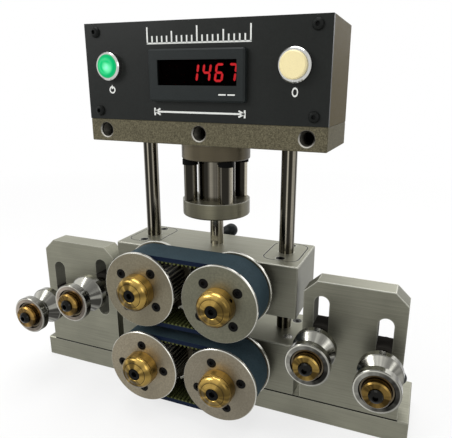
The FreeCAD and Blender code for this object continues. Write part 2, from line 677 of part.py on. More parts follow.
def encoder():
    x, z, _ = PULLEYS[ENCODER_PULLEY]
    flange = rounded_plate_z(0, 0, ENCODER_FLANGE, ENCODER_FLANGE, ENCODER_CORNER, 0, ENCODER_FLANGE_THICK)
    flange.rotate(Vector(0, 0, 0), Vector(1, 0, 0), -90)
    flange.translate(Vector(x, REAR, z))
    body = rod_y(ENCODER_RADIUS, REAR, REAR + ENCODER_LENGTH, x, z)
    plug_y = REAR + ENCODER_LENGTH - ENCODER_PLUG_RADIUS - ENCODER_PLUG_INSET
    reach = ENCODER_FLANGE / 2 + ENCODER_PLUG_LENGTH
    plug = Part.makeCylinder(ENCODER_PLUG_RADIUS, reach, Vector(x, plug_y, z), Vector(1, 0, 0))
    bore = rod_y(SHAFT_RADIUS + RUNNING_GAP, REAR, REAR + ENCODER_SHAFT_DEPTH, x, z)
    return flange.fuse([body, plug]).removeSplitter().cut(bore)


# ---------------------------------------------------------------- head plate, enclosure and panel
def head_plate():
    half = HEAD_LENGTH / 2
    plate = broken_box(-half, half, FRONT, FRONT + HEAD_DEPTH, HEAD_BOTTOM, HEAD_TOP)
    cuts = [rod_z(ROD_RADIUS + FIT_GAP, HEAD_BOTTOM, HEAD_TOP, x, ROD_Y) for x in (-ROD_X, ROD_X)]
    mouth = HEAD_HOLE_MOUTH - HEAD_HOLE_RADIUS
    z = HEAD_BOTTOM + HEAD_THICK / 2
    for x in (-HEAD_HOLE_X, 0, HEAD_HOLE_X):
        start = Vector(x, FRONT, z)
        cuts.append(rod_y(HEAD_HOLE_RADIUS, FRONT, FRONT + HEAD_HOLE_DEPTH, x, z))
        cuts.append(Part.makeCone(HEAD_HOLE_MOUTH, HEAD_HOLE_RADIUS, mouth, start, Vector(0, 1, 0)))
    return plate.cut(cuts)


def panel_screw_places():
    return [(x, z) for x in (-PANEL_SCREW_X, PANEL_SCREW_X) for z in PANEL_SCREW_ROWS]


def enclosure_shell():
    """Box without front or floor, with four threaded corner posts for the panel."""
    half = HEAD_LENGTH / 2
    front, rear = FRONT + PANEL_THICK, FRONT + HEAD_DEPTH
    corner, roof = half - SHELL_WALL, ENCLOSURE_TOP - SHELL_WALL
    outer = box(-half, half, front, rear, HEAD_TOP, ENCLOSURE_TOP)
    shell = outer.cut(box(-corner, corner, front, rear - SHELL_WALL, HEAD_TOP, roof))
    posts = []
    for side in (-1, 1):
        x0, x1 = sorted((side * corner, side * (corner - PANEL_POST)))
        for z0, z1 in ((HEAD_TOP, HEAD_TOP + PANEL_POST), (roof - PANEL_POST, roof)):
            posts.append(box(x0, x1, front, front + PANEL_POST_DEPTH, z0, z1))
    cuts = [rod_y(PANEL_SCREW_RADIUS + FIT_GAP, front, front + PANEL_SCREW_LENGTH, x, z)
            for x, z in panel_screw_places()]
    cable_z = HEAD_TOP + CABLE_HOLE_DROP
    cuts.append(rod_y(CABLE_HOLE_RADIUS, rear - SHELL_WALL, rear, CABLE_HOLE_X, cable_z))
    return shell.fuse(posts).removeSplitter().cut(cuts)


def front_panel():
    half = HEAD_LENGTH / 2
    back = FRONT + PANEL_THICK
    panel = box(-half, half, FRONT, back, HEAD_TOP, ENCLOSURE_TOP)
    body_x, body_z = COUNTER_BODY_WIDTH / 2 + FIT_GAP, COUNTER_BODY_HEIGHT / 2 + FIT_GAP
    cuts = [box(-body_x, body_x, FRONT, back, COUNTER_Z - body_z, COUNTER_Z + body_z)]
    for x, z in panel_screw_places():
        cuts.append(rod_y(PANEL_SCREW_RADIUS + FIT_GAP, FRONT, back, x, z))
    for x, radius in ((LAMP_X, LAMP_RADIUS), (BUTTON_X, BUTTON_RADIUS)):
        cuts.append(rod_y(radius + FIT_GAP, FRONT, back, x, CONTROL_Z))
    return panel.cut(cuts)


def panel_screws():
    """Button head screws with a hex socket, through the panel into the corner posts."""
    return Part.makeCompound([
        button_screw(PANEL_SCREW_HEAD_RADIUS, PANEL_SCREW_HEAD, PANEL_SCREW_RADIUS, PANEL_SCREW_LENGTH,
                     x, FRONT, z) for x, z in panel_screw_places()])


def counter_bezel():
    half_x, half_z = COUNTER_WIDTH / 2, COUNTER_HEIGHT / 2
    front = FRONT - COUNTER_PROUD
    frame = box(-half_x, half_x, front, FRONT, COUNTER_Z - half_z, COUNTER_Z + half_z)
    rim = [e for e in frame.Edges if all(abs(v.Y - front) < 0.01 for v in e.Vertexes)]
    upright = [e for e in frame.Edges if abs(e.tangentAt(e.FirstParameter).y) > 0.99]
    frame = frame.makeChamfer(COUNTER_EDGE, rim + upright)
    x0, x1 = WINDOW_SHIFT_X - WINDOW_WIDTH / 2, WINDOW_SHIFT_X + WINDOW_WIDTH / 2
    middle = COUNTER_Z + WINDOW_SHIFT_Z
    z0, z1 = middle - WINDOW_HEIGHT / 2, middle + WINDOW_HEIGHT / 2
    return frame.cut(box(x0, x1, front, FRONT, z0, z1))


def counter_window():
    half_x, half_z = WINDOW_WIDTH / 2 - FIT_GAP, WINDOW_HEIGHT / 2 - FIT_GAP
    front = FRONT - COUNTER_PROUD + WINDOW_RECESS
    middle = COUNTER_Z + WINDOW_SHIFT_Z
    return box(WINDOW_SHIFT_X - half_x, WINDOW_SHIFT_X + half_x, front, front + WINDOW_THICK,
               middle - half_z, middle + half_z)


def counter_body():
    """Counter housing behind the bezel, with a raised display block behind the window."""
    half_x, half_z = COUNTER_BODY_WIDTH / 2, COUNTER_BODY_HEIGHT / 2
    back = FRONT + COUNTER_BODY_DEPTH
    housing = box(-half_x, half_x, FRONT, back, COUNTER_Z - half_z, COUNTER_Z + half_z)
    display_x, display_z = WINDOW_WIDTH / 2 - DISPLAY_INSET, WINDOW_HEIGHT / 2 - DISPLAY_INSET
    middle = COUNTER_Z + WINDOW_SHIFT_Z
    front = FRONT - COUNTER_PROUD + WINDOW_RECESS + WINDOW_THICK
    display = box(WINDOW_SHIFT_X - display_x, WINDOW_SHIFT_X + display_x, front, FRONT,
                  middle - display_z, middle + display_z)
    return housing.fuse(display)


def control_ring(x, ring_radius, inside):
    """Chrome ring in front of the panel with its closed barrel behind it."""
    front, back = FRONT - RING_PROUD, FRONT + BARREL_LENGTH
    bore = inside - BARREL_WALL
    floor = back - BARREL_FLOOR
    seat = FRONT - RING_SEAT
    return turned_y([
        (bore, floor), (bore, seat), (inside, seat), (inside, front),
        (ring_radius - RING_CHAMFER, front), (ring_radius, front + RING_CHAMFER), (ring_radius, FRONT),
        (inside, FRONT), (inside, back), (0, back), (0, floor),
    ], x, CONTROL_Z)


def control_rings():
    return Part.makeCompound([
        control_ring(LAMP_X, LAMP_RING_RADIUS, LAMP_RADIUS),
        control_ring(BUTTON_X, BUTTON_RING_RADIUS, BUTTON_RADIUS),
    ])


def lamp_lens():
    """Domed lens seated in the lamp ring, with a stem in the barrel."""
    radius = LAMP_RADIUS - FIT_GAP
    tip_y = FRONT - RING_PROUD - LENS_PROUD
    dome_radius = (radius ** 2 + LENS_PROUD ** 2) / (2 * LENS_PROUD)
    ball = Part.makeSphere(dome_radius, Vector(LAMP_X, tip_y + dome_radius, CONTROL_Z))
    seat = FRONT - RING_SEAT
    lens = ball.common(rod_y(radius, tip_y, seat, LAMP_X, CONTROL_Z))
    stem = rod_y(radius - BARREL_WALL, seat, FRONT + LENS_STEM, LAMP_X, CONTROL_Z)
    return lens.fuse(stem)


def reset_button():
    """Cap that travels in its ring, on a plunger in the barrel."""
    radius = BUTTON_RADIUS - RUNNING_GAP
    front = FRONT - RING_PROUD - BUTTON_PROUD
    back = FRONT - RING_SEAT - BUTTON_TRAVEL - SIDE_GAP
    stem = radius - BARREL_WALL
    tail = FRONT + BARREL_LENGTH - BARREL_FLOOR - BUTTON_TRAVEL - SIDE_GAP
    return turned_y([
        (0, front), (radius - RING_CHAMFER, front), (radius, front + RING_CHAMFER), (radius, back),
        (stem, back), (stem, tail), (0, tail),
    ], BUTTON_X, CONTROL_Z)


# ---------------------------------------------------------------- air cylinder
def cylinder_cap(z0, z1, bore, round_z):
    cap = rod_z(CAP_RADIUS, z0, z1, 0, CYLINDER_Y)
    rims = [e for e in cap.Edges if isinstance(e.Curve, Part.Circle)]
    rim = [e for e in rims if abs(e.Curve.Center.z - round_z) < SAME_HEIGHT]
    cap = cap.makeFillet(CAP_ROUND, rim)
    middle = (z0 + z1) / 2
    rim_y = CYLINDER_Y + CAP_RADIUS
    cuts = [rod_y(PORT_RADIUS, rim_y - PORT_DEPTH, rim_y, 0, middle)]
    if bore:
        cuts.append(rod_z(bore, z0, z1, 0, CYLINDER_Y))
    return cap.cut(cuts)


def cylinder_tube():
    tube = rod_z(TUBE_RADIUS, BOTTOM_CAP_TOP, TOP_CAP_BOTTOM, 0, CYLINDER_Y)
    return tube.cut(rod_z(TUBE_BORE, BOTTOM_CAP_TOP, TOP_CAP_BOTTOM, 0, CYLINDER_Y))


def cylinder_posts():
    top = TOP_CAP_BOTTOM - POST_RING_HEIGHT
    return Part.makeCompound([rod_z(POST_RADIUS, BOTTOM_CAP_TOP, top, x, y) for x, y in POSTS])


def post_rings():
    bottom = TOP_CAP_BOTTOM - POST_RING_HEIGHT
    return Part.makeCompound([rod_z(POST_RING_RADIUS, bottom, TOP_CAP_BOTTOM, x, y) for x, y in POSTS])


# ---------------------------------------------------------------- guide rollers
ROLLER_BACK_Y = FRONT - ROLLER_STANDOFF
ROLLER_FRONT_Y = ROLLER_BACK_Y - ROLLER_WIDTH
CAP_BACK_Y = ROLLER_FRONT_Y + ROLLER_RECESS_DEPTH - SIDE_GAP
CAP_FRONT_Y = CAP_BACK_Y - CAP_WASHER_THICK


def guide_roller(name):
    """V-grooved roller with a ball bearing pressed into each end."""
    x, z, _ = ROLLERS[name]
    front, back = ROLLER_FRONT_Y, ROLLER_BACK_Y
    middle = (front + back) / 2
    recess, seat = ROLLER_RECESS_DEPTH, ROLLER_RECESS_DEPTH + ROLLER_BEARING_WIDTH
    waist = ROLLER_WAIST_WIDTH / 2
    socket = ROLLER_BEARING_RADIUS + FIT_GAP
    rim = ROLLER_RADIUS
    wheel = turned_y([
        (ROLLER_RECESS_RADIUS, front), (rim - ROLLER_EDGE, front), (rim, front + ROLLER_EDGE),
        (rim, front + ROLLER_RIM), (ROLLER_WAIST_RADIUS, middle - waist),
        (ROLLER_WAIST_RADIUS, middle + waist), (rim, back - ROLLER_RIM),
        (rim, back - ROLLER_EDGE), (rim - ROLLER_EDGE, back), (ROLLER_RECESS_RADIUS, back),
        (ROLLER_RECESS_RADIUS, back - recess), (socket, back - recess),
        (socket, back - seat), (ROLLER_BORE, back - seat),
        (ROLLER_BORE, front + seat), (socket, front + seat),
        (socket, front + recess), (ROLLER_RECESS_RADIUS, front + recess),
    ], x, z)
    bore = AXLE_RADIUS + RUNNING_GAP
    bearings = []
    for y in (front + recess, back - seat):
        bearings.append(turned_y([
            (bore, y), (ROLLER_BEARING_RADIUS, y), (ROLLER_BEARING_RADIUS, y + ROLLER_BEARING_WIDTH),
            (bore, y + ROLLER_BEARING_WIDTH),
        ], x, z))
    return Part.makeCompound([wheel] + bearings)


def roller_cap(name):
    """Brass washer that holds the front bearing on the axle."""
    x, z, _ = ROLLERS[name]
    radius, edge = CAP_WASHER_RADIUS, CAP_WASHER_ROUND
    bore = AXLE_RADIUS + FIT_GAP
    return turned_y([
        (bore, CAP_BACK_Y), (radius, CAP_BACK_Y), (radius, CAP_FRONT_Y + edge),
        (radius - edge, CAP_FRONT_Y), (bore, CAP_FRONT_Y),
    ], x, z)


def roller_axle(name):
    """Axle with its spacer, the slide block in the plate's slot and the front button screw."""
    x, z, _ = ROLLERS[name]
    spacer_front = ROLLER_BACK_Y - ROLLER_RECESS_DEPTH + SIDE_GAP
    block_back = FRONT + PLATE_THICK
    axle = rod_y(AXLE_RADIUS, CAP_FRONT_Y, block_back, x, z)
    spacer = rod_y(SPACER_RADIUS, spacer_front, FRONT - RUNNING_GAP, x, z)
    tail = rod_y(STUD_RADIUS, block_back, block_back + STUD_LENGTH, x, z)
    floor = CAP_FRONT_Y + CAP_SCREW_GRIP + HOLE_RUN_OUT
    tapped = rod_y(CAP_SCREW_SHANK + FIT_GAP, CAP_FRONT_Y, floor, x, z)
    axle = axle.fuse([spacer, tail]).removeSplitter().cut(tapped)
    half_x = SLOT_WIDTH / 2 - RUNNING_GAP
    half_z = SLIDE_BLOCK_HEIGHT / 2
    block = box(x - half_x, x + half_x, FRONT, block_back, z - half_z, z + half_z)
    block = block.cut(rod_y(AXLE_RADIUS + FIT_GAP, FRONT, block_back, x, z))
    screw = button_screw(CAP_SCREW_RADIUS, CAP_SCREW_HEIGHT, CAP_SCREW_SHANK, CAP_SCREW_GRIP,
                         x, CAP_FRONT_Y, z)
    return Part.makeCompound([axle, block, screw])


# ---------------------------------------------------------------- clamp levers
def lever(x, y, z, angle, tilt, reach, hub, arm):
    """Clamping lever: a coned hub on a Y axis and a round arm that thickens to its tip.

    hub is (radius, height, nose radius), arm is (neck radius, tip radius).
    """
    hub_radius, height, nose = hub
    neck, tip = arm
    top = y + height
    body = turned_y([
        (0, y), (hub_radius, y), (hub_radius, y + height * HUB_CONE_START), (nose, top), (0, top),
    ], x, z)
    root = Vector(x, y + height * ARM_ROOT, z)
    lean = math.radians(tilt)
    dx, dz = polar(math.cos(lean), math.radians(angle))
    along = Vector(dx, math.sin(lean), dz)
    end = root + along * (reach / math.cos(lean))
    length = (end - root).Length
    cone = Part.makeCone(neck, tip, length, root, along)
    ball = Part.makeSphere(tip, end)
    return body.fuse([cone, ball])


def clamp_lever(name):
    x, z, angle = ROLLERS[name]
    y = FRONT + PLATE_THICK + SIDE_GAP
    shape = lever(x, y, z, angle, LEVER_TILT, LEVER_REACH,
                  (LEVER_HUB_RADIUS, LEVER_HUB_HEIGHT, LEVER_HUB_NOSE), (LEVER_NECK, LEVER_TIP))
    bore = STUD_RADIUS + RUNNING_GAP
    return shape.cut(rod_y(bore, y, FRONT + PLATE_THICK + STUD_LENGTH + SIDE_GAP, x, z))


def carriage_lock_lever():
    """Lever whose screw bears on the left guide rod through the rear of the upper block."""
    y = REAR + SIDE_GAP
    shape = lever(-ROD_X, y, LOCK_Z, LOCK_ANGLE, LOCK_TILT, LOCK_REACH,
                  (LOCK_HUB_RADIUS, LOCK_HUB_HEIGHT, LOCK_HUB_NOSE), (LOCK_NECK, LOCK_TIP))
    screw = rod_y(STUD_RADIUS, ROD_Y + ROD_RADIUS + SIDE_GAP, y, -ROD_X, LOCK_Z)
    return shape.fuse(screw)


# ---------------------------------------------------------------- all nodes
def nodes():
    shapes = {
        "base_plate": base_plate(),
        "base_screws": base_screws(),
        "lower_block": lower_block(),
        "block_screws": block_screws(),
        "lower_bearings": shaft_bearings(LOWER_SHAFT_Z),
        "lower_belt": belt(LOWER_SHAFT_Z),
        "encoder": encoder(),
        "roller_plate_left": roller_plate(-1),
        "roller_plate_right": roller_plate(1),
        "guide_rods": guide_rods(),
        "head_plate": head_plate(),
        "enclosure_shell": enclosure_shell(),
        "front_panel": front_panel(),
        "panel_screws": panel_screws(),
        "counter_bezel": counter_bezel(),
        "counter_window": counter_window(),
        "counter_body": counter_body(),
        "control_rings": control_rings(),
        "lamp_lens": lamp_lens(),
        "reset_button": reset_button(),
        "cylinder_top_cap": cylinder_cap(TOP_CAP_BOTTOM, HEAD_BOTTOM, 0, TOP_CAP_BOTTOM),
        "cylinder_bottom_cap": cylinder_cap(CYLINDER_BOTTOM, BOTTOM_CAP_TOP,
                                            PISTON_ROD_RADIUS + RUNNING_GAP, CYLINDER_BOTTOM),
        "cylinder_tube": cylinder_tube(),
        "cylinder_posts": cylinder_posts(),
        "post_rings": post_rings(),
        "upper_block": upper_block(),
        "linear_bearings": linear_bearings(),
        "bearing_screws": bearing_screws(),
        "upper_bearings": shaft_bearings(UPPER_SHAFT_Z),
        "upper_belt": belt(UPPER_SHAFT_Z),
        "piston_rod": piston_rod(),
        "carriage_lock_lever": carriage_lock_lever(),
    }
    for name in PULLEYS:
        shapes["pulley_" + name] = toothed_pulley(name)
        shapes["pulley_flanges_" + name] = pulley_flanges(name)
        shapes["pulley_hub_" + name] = pulley_hub(name)
    for name in ROLLERS:
        shapes["guide_roller_" + name] = guide_roller(name)
        shapes["roller_cap_" + name] = roller_cap(name)
        shapes["roller_axle_" + name] = roller_axle(name)
        shapes["clamp_lever_" + name] = clamp_lever(name)
    return shapes


def main():
    os.makedirs("parts", exist_ok=True)
    for name, shape in nodes().items():
        shape.exportStep("parts/" + name + ".step")


if __name__ == "__main__":
    main()
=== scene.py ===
"""Cable length counter: finishes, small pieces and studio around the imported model."""

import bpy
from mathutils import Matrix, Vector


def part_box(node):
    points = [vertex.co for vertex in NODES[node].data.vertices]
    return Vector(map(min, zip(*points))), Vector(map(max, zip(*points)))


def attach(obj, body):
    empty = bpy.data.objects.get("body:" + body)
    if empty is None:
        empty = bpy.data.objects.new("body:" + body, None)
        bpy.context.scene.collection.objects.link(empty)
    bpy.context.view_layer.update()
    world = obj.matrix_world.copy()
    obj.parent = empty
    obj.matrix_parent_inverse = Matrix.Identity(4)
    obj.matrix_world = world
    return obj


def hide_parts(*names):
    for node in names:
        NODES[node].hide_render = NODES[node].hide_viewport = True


bl_info = {
    "name": "Cable length counter",
    "version": (1, 0, 0),
    "blender": (4, 5, 0),
    "location": "3D View > Sidebar > Counter",
    "description": "Finishes, screws, display, panel marks and studio for a cable length counter",
    "category": "Object",
}

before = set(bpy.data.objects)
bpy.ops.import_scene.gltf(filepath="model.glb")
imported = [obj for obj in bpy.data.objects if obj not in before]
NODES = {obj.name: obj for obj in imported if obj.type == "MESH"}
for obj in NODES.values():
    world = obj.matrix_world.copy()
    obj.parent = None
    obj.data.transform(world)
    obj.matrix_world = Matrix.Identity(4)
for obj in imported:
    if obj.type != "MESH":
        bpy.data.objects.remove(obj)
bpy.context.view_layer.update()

import math

import bpy
from bpy.props import FloatProperty, FloatVectorProperty, PointerProperty, StringProperty
from mathutils import Matrix, Vector

MM = 0.001

PULLEYS = ("upper_left", "upper_right", "lower_left", "lower_right")
ROLLERS = ("left_outer", "left_inner", "right_inner", "right_outer")
FLANGE_SCREW_ANGLES = {"upper_left": 53.0, "upper_right": 38.0, "lower_left": 0.0, "lower_right": 18.5}
# Each flange's copy of one finish, lighter or darker as painted light and shade, with a slight tint.
FLANGE_LIGHT_AND_SHADE = {"upper_left": (0.90, 0.90, 0.86), "upper_right": (0.70, 0.77, 0.76),
                "lower_left": (1.22, 1.2, 1.18), "lower_right": (1.04, 1.04, 1.06)}
HUB_HOLE_ANGLES = {"upper_left": 200.0, "upper_right": 32.0, "lower_left": 215.0, "lower_right": 190.0}
# Each roller cap's copy of the brass: a tint, and darker towards the right-hand rollers as painted shade.
CAP_TINT_AND_SHADE = {"left_outer": (0.80, 0.72, 0.72), "left_inner": (0.70, 0.65, 0.64),
             "right_inner": (0.66, 0.66, 0.68), "right_outer": (0.46, 0.44, 0.46)}
SEGMENTS = {"1": "bc", "4": "bcfg", "6": "acdefg", "7": "abc"}

BRUSHED = (3, 80, 420)
# Colour of the painted highlights along edges.
EDGE_HIGHLIGHT = (0.74, 0.74, 0.66)
# Painted shade inside the plates' slots.
BLACK = (0.0, 0.0, 0.0)
FACES_AXIS = 0.95

# Radii and distances, in metres, at which a finish changes on its piece.
# Width of the painted highlights along edges.
EDGE_HIGHLIGHT_WIDTH = 1.5 * MM
# Size of the painted shade in the groove at the foot of the plates.
JOINT_HALF_HEIGHT, JOINT_DEPTH = 0.62 * MM, 0.7 * MM
SLOT_HALF_WIDTH, SLOT_END = 5.8 * MM, 4 * MM
FIT_LINE, FIT_LINE_DEPTH = 0.48 * MM, 0.5 * MM
GROOVE_HALF_WIDTH, RING_HALF_WIDTH = 0.24 * MM, 0.26 * MM
# Painted highlight ring on a roller's end face, and the radius past which its chamfer is darkened as painted
# shade.
ROLLER_EDGE, ROLLER_RIM = (14.1 * MM, 14.6 * MM), 15.0 * MM
# Bearing recess in each roller end, darkened partly as painted shade.
BEARING_SEAT, BEARING_DEPTH = 11.72 * MM, 8 * MM
BEARING_RING, BEARING_RING_HALF = 10.45 * MM, 0.5 * MM
# Painted highlight on a flange's rim.
FLANGE_RIM = (28.6 * MM, 29.1 * MM)
# Painted highlight on the tooth tips, painted shade below them.
TOOTH_TIPS, WHEEL_SHAFT = (23.7 * MM, 24.2 * MM), 9.5 * MM
BELT_COVER, BELT_CORD = 0.25 * MM, (3.6 * MM, 3.1 * MM)
# Mouth of the head plate's holes, lit as painted light, and the bore behind it darkened as painted shade.
HOLE_MOUTH, HOLE_LIP, HOLE_DEPTH = 6.05 * MM, 0.85 * MM, 30 * MM
HOT_SPOT, LENS_GLOW = (0.8 * MM, 4.2 * MM), (5.0 * MM, 8.4 * MM)


# ---------------------------------------------------------------- places read from the frame
def middle(node):
    low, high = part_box(node)
    return (low + high) / 2


def front_of(node):
    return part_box(node)[0].y


def half_size(node):
    low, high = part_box(node)
    return (high - low) / 2


def tinted(colour, tint):
    """A colour times one factor, or times a factor for each channel."""
    factors = tint if isinstance(tint, tuple) else (tint, tint, tint)
    return [factor * v for factor, v in zip(factors, colour)]


# ---------------------------------------------------------------- sizes and colours
def length(name, description, value_mm):
    return FloatProperty(name=name, description=description, default=value_mm * MM, unit="LENGTH", precision=5)


def colour(name, description, value):
    return FloatVectorProperty(name=name, description=description, default=value, subtype="COLOR",
                               size=3, min=0.0, max=1.0)


class CounterSizes(bpy.types.PropertyGroup):
    flange_screw_circle: length("Flange screw circle", "Radius of the circle of flange screws", 18.3)
    flange_screw_head: length("Flange screw head", "Radius of a flange screw's head", 3.6)
    flange_screw_height: length("Flange screw height", "Height of a flange screw's head", 2.1)
    flange_screw_socket: length("Flange screw socket", "Corner radius of the hexagon socket", 1.75)
    hub_screw_head: length("Hub screw head", "Radius of a hub screw's head", 4.65)
    hub_screw_height: length("Hub screw height", "Height of a hub screw's head", 4.7)
    hub_screw_socket: length("Hub screw socket", "Corner radius of the hexagon socket", 2.4)
    hub_radius: length("Hub radius", "Radius of a hub's collar", 13.3)
    hub_nose: length("Hub nose", "Length of a hub", 12.2)
    hub_groove: length("Hub groove", "Distance of the groove round a hub from its nose", 5.25)
    hub_ring: length("Hub ring", "Radius of the ring groove on a hub's nose", 8.95)
    hub_socket: length("Hub socket", "Radius of the recess for the hub screw", 4.8)
    set_screw_hole: length("Set screw hole", "Radius of the hole in a hub's collar", 1.5)
    shaft_bore: length("Shaft bore", "Radius of a hub's bore for the shaft", 6.05)
    digit_height: length("Digit height", "Height of a digit on the display", 12.4)
    digit_width: length("Digit width", "Width of a digit on the display", 6.6)
    digit_pitch: length("Digit pitch", "Distance from digit to digit", 9.6)
    segment_width: length("Segment width", "Width of one lit bar", 1.6)
    mark_height: length("Mark height", "How far printed marks stand off the panel", 0.06)
    scale_length: length("Scale length", "Length of the printed tick scale", 80.0)
    scale_height: length("Scale height", "Height of the scale's longest ticks", 11.0)
    dimension_length: length("Dimension line length", "Length of the line with two arrowheads", 72.0)
    mark_drop: length("Mark drop", "Distance of a mark below its lamp or button", 17.0)
    hole_spacing: length("Hole spacing", "Distance between the holes in the head plate", 80.7)
    oblong_width: length("Oblong width", "Width of the bearing flanges on the carriage", 28.0)
    oblong_length: length("Oblong length", "Length of the bearing flanges on the carriage", 42.0)
    oblong_corner: length("Oblong corner", "Corner radius of the bearing flanges on the carriage", 8.0)
    thread_pitch: length("Thread pitch", "Pitch of the threads in the head plate", 1.75)
    digit_slant: FloatProperty(name="Digit slant", description="Lean of the digits", default=math.radians(9),
                               subtype="ANGLE")


class CounterColours(bpy.types.PropertyGroup):
    aluminium: colour("Machined aluminium", "Base, plates and blocks", (0.172, 0.170, 0.132))
    flange: colour("Flange aluminium", "Pulley flanges and cylinder caps", (0.200, 0.178, 0.130))
    roller: colour("Polished aluminium", "Guide rollers", (0.330, 0.325, 0.290))
    steel: colour("Ground steel", "Guide rods, cylinder tube and posts", (0.100, 0.092, 0.074))
    brass: colour("Brass", "Hubs and roller caps", (0.300, 0.200, 0.060))
    black: colour("Black oxide", "Screws and slide blocks", (0.0030, 0.0030, 0.0028))
    paint: colour("Speckled paint", "Head plate", (0.105, 0.094, 0.060))
    case: colour("Case paint", "Sides of the enclosure", (0.078, 0.061, 0.027))
    panel: colour("Panel", "Front panel", (0.0095, 0.0108, 0.0098))
    plastic: colour("Black plastic", "Bezel, levers and encoder", (0.012, 0.015, 0.015))
    lamp: colour("Lamp", "Lit lamp lens", (0.001, 0.50, 0.155))
    cap: colour("Cream cap", "Reset button", (0.830, 0.720, 0.400))
    digit: colour("Digits", "Lit bars of the display", (0.80, 0.004, 0.010))
    belt: colour("Belt cover", "Outer face of the belts", (0.0255, 0.0445, 0.0550))
    belt_edge: colour("Belt edge", "Cut edges of the belts", (0.0015, 0.0060, 0.0200))
    belt_teeth: colour("Belt teeth", "Inner face of the belts", (0.070, 0.078, 0.024))
    pulley: colour("Pulley", "Toothed wheels", (0.030, 0.028, 0.022))


def sizes():
    return bpy.context.scene.counter_sizes


def colours():
    return bpy.context.scene.counter_colours


# ---------------------------------------------------------------- finishes
class Finish:
    """One material being built from nodes, on a Principled shader."""

    def __init__(self, name, colour, metallic=0.0, roughness=0.5, **sockets):
        self.material = bpy.data.materials.new(name)
        self.material.use_nodes = True
        self.tree = self.material.node_tree
        self.shader = self.tree.nodes["Principled BSDF"]
        self.colour = tuple(colour)
        self.put("Base Color", (*colour, 1.0))
        self.put("Metallic", metallic)
        self.put("Roughness", roughness)
        for socket, value in sockets.items():
            self.put(socket.replace("_", " "), value)

    def feed(self, target, value):
        """Link an output to an input, or set the input's value."""
        if isinstance(value, bpy.types.NodeSocket):
            self.tree.links.new(value, target)
        else:
            target.default_value = value

    def put(self, socket, value):
        self.feed(self.shader.inputs[socket], value)

    def node(self, kind, **inputs):
        """A new node, its inputs given by name, or by number after an underscore."""
        made = self.tree.nodes.new("ShaderNode" + kind)
        for key, value in inputs.items():
            self.feed(made.inputs[int(key[1:]) if key[0] == "_" else key.replace("_", " ")], value)
        return made

    def operate(self, kind, operation, values):
        made = self.node(kind, **{"_%d" % i: v for i, v in enumerate(values)})
        made.operation = operation
        return made.outputs

    def math(self, operation, *values):
        return self.operate("Math", operation, values)[0]

    def vector(self, operation, *values):
        return self.operate("VectorMath", operation, values)

    def times(self, first, *others):
        for other in others:
            first = self.math("MULTIPLY", first, other)
        return first

    def plus(self, first, second):
        return self.math("ADD", first, second)

    def minus(self, first, second):
        return self.math("SUBTRACT", first, second)

    def absolute(self, value):
        return self.math("ABSOLUTE", value)

    def above(self, value, limit):
        """1 where a value is above a limit, and 0 elsewhere."""
        return self.math("GREATER_THAN", value, limit)

    def below(self, value, limit):
        """1 where a value is below a limit, and 0 elsewhere."""
        return self.math("LESS_THAN", value, limit)

    def within(self, value, centre, half):
        """1 where a value lies within half of a centre, and 0 elsewhere."""
        return self.below(self.absolute(self.minus(value, centre)), half)

    def mean(self, first, share, second):
        """Weighted mean: a share of the first, the rest of the second."""
        return self.plus(self.times(first, share), self.times(second, 1 - share))

    def distance(self, x, y):
        """Length of the line from (0, 0) to (x, y)."""
        return self.math("SQRT", self.plus(self.times(x, x), self.times(y, y)))

    def place(self, centre=(0, 0, 0), scale=(1, 1, 1)):
        """Object coordinates measured from a centre, stretched by a scale."""
        coordinates = self.node("TexCoord").outputs["Object"]
        moved = self.vector("SUBTRACT", coordinates, tuple(centre))[0]
        return self.vector("MULTIPLY", moved, scale)[0]

    def parts(self, vector):
        return self.node("SeparateXYZ", Vector=vector).outputs

    def radius(self, centre):
        """Distance from an axis along Y through a centre, in metres."""
        x, _, z = self.parts(self.place(centre))
        return self.distance(x, z)

    def noise(self, vector, scale, detail=3.0, roughness=0.55):
        return self.node("TexNoise", Vector=vector, Scale=scale, Detail=detail, Roughness=roughness).outputs[0]

    def rings(self, centre, scale):
        """Fine uneven rings about an axis along Y, as a lathe leaves."""
        _, y, _ = self.parts(self.place(centre))
        across = self.node("CombineXYZ", X=self.radius(centre), Y=y)
        return self.noise(across.outputs[0], scale, 2.0)

    def span(self, value, low, high, start=0.0, end=1.0):
        """Value from low to high, remapped from start to end and held there."""
        return self.node("MapRange", Value=value, From_Min=low, From_Max=high,
                         To_Min=start, To_Max=end).outputs[0]

    def spread(self, pattern, start=0.0, end=1.0):
        """A noise pattern's usual values, 0.3 to 0.7, remapped from start to end."""
        return self.span(pattern, 0.3, 0.7, start, end)

    def blend(self, share, first, second):
        """First colour where the share is 0, second where it is 1."""
        made = self.tree.nodes.new("ShaderNodeMix")
        made.data_type = "RGBA"
        self.feed(made.inputs[0], share)
        for index, value in ((6, first), (7, second)):
            plain = not isinstance(value, bpy.types.NodeSocket)
            self.feed(made.inputs[index], (*value[:3], 1.0) if plain else value)
        return made.outputs[2]

    def shade(self, share, amount):
        """Base colour darkened and lightened by an amount, by a share from 0 to 1."""
        bright = [min(1.0, v) for v in tinted(self.colour, 1 + amount)]
        return self.blend(share, tinted(self.colour, 1 - amount), bright)

    def bands(self, direction, scale, shift, low, high):
        """Painted reflection: dark and bright bands that follow a direction, from 0 to 1, as bare metal shows a
        room.
        """
        moved = self.vector("ADD", direction, (shift, 0.3 * shift, 0.7 * shift))[0]
        return self.span(self.noise(moved, scale, 1.5, 0.6), low, high)

    def around(self, centre):
        """Direction from an axis along Y through a centre, without the part along it."""
        return self.vector("NORMALIZE", self.place(centre, (1, 0, 1)))[0]

    def facing(self, stretch=(1, 1, 1)):
        """Direction that the surface faces, in the piece's own axes."""
        return self.vector("MULTIPLY", self.node("TexCoord").outputs["Normal"], stretch)[0]

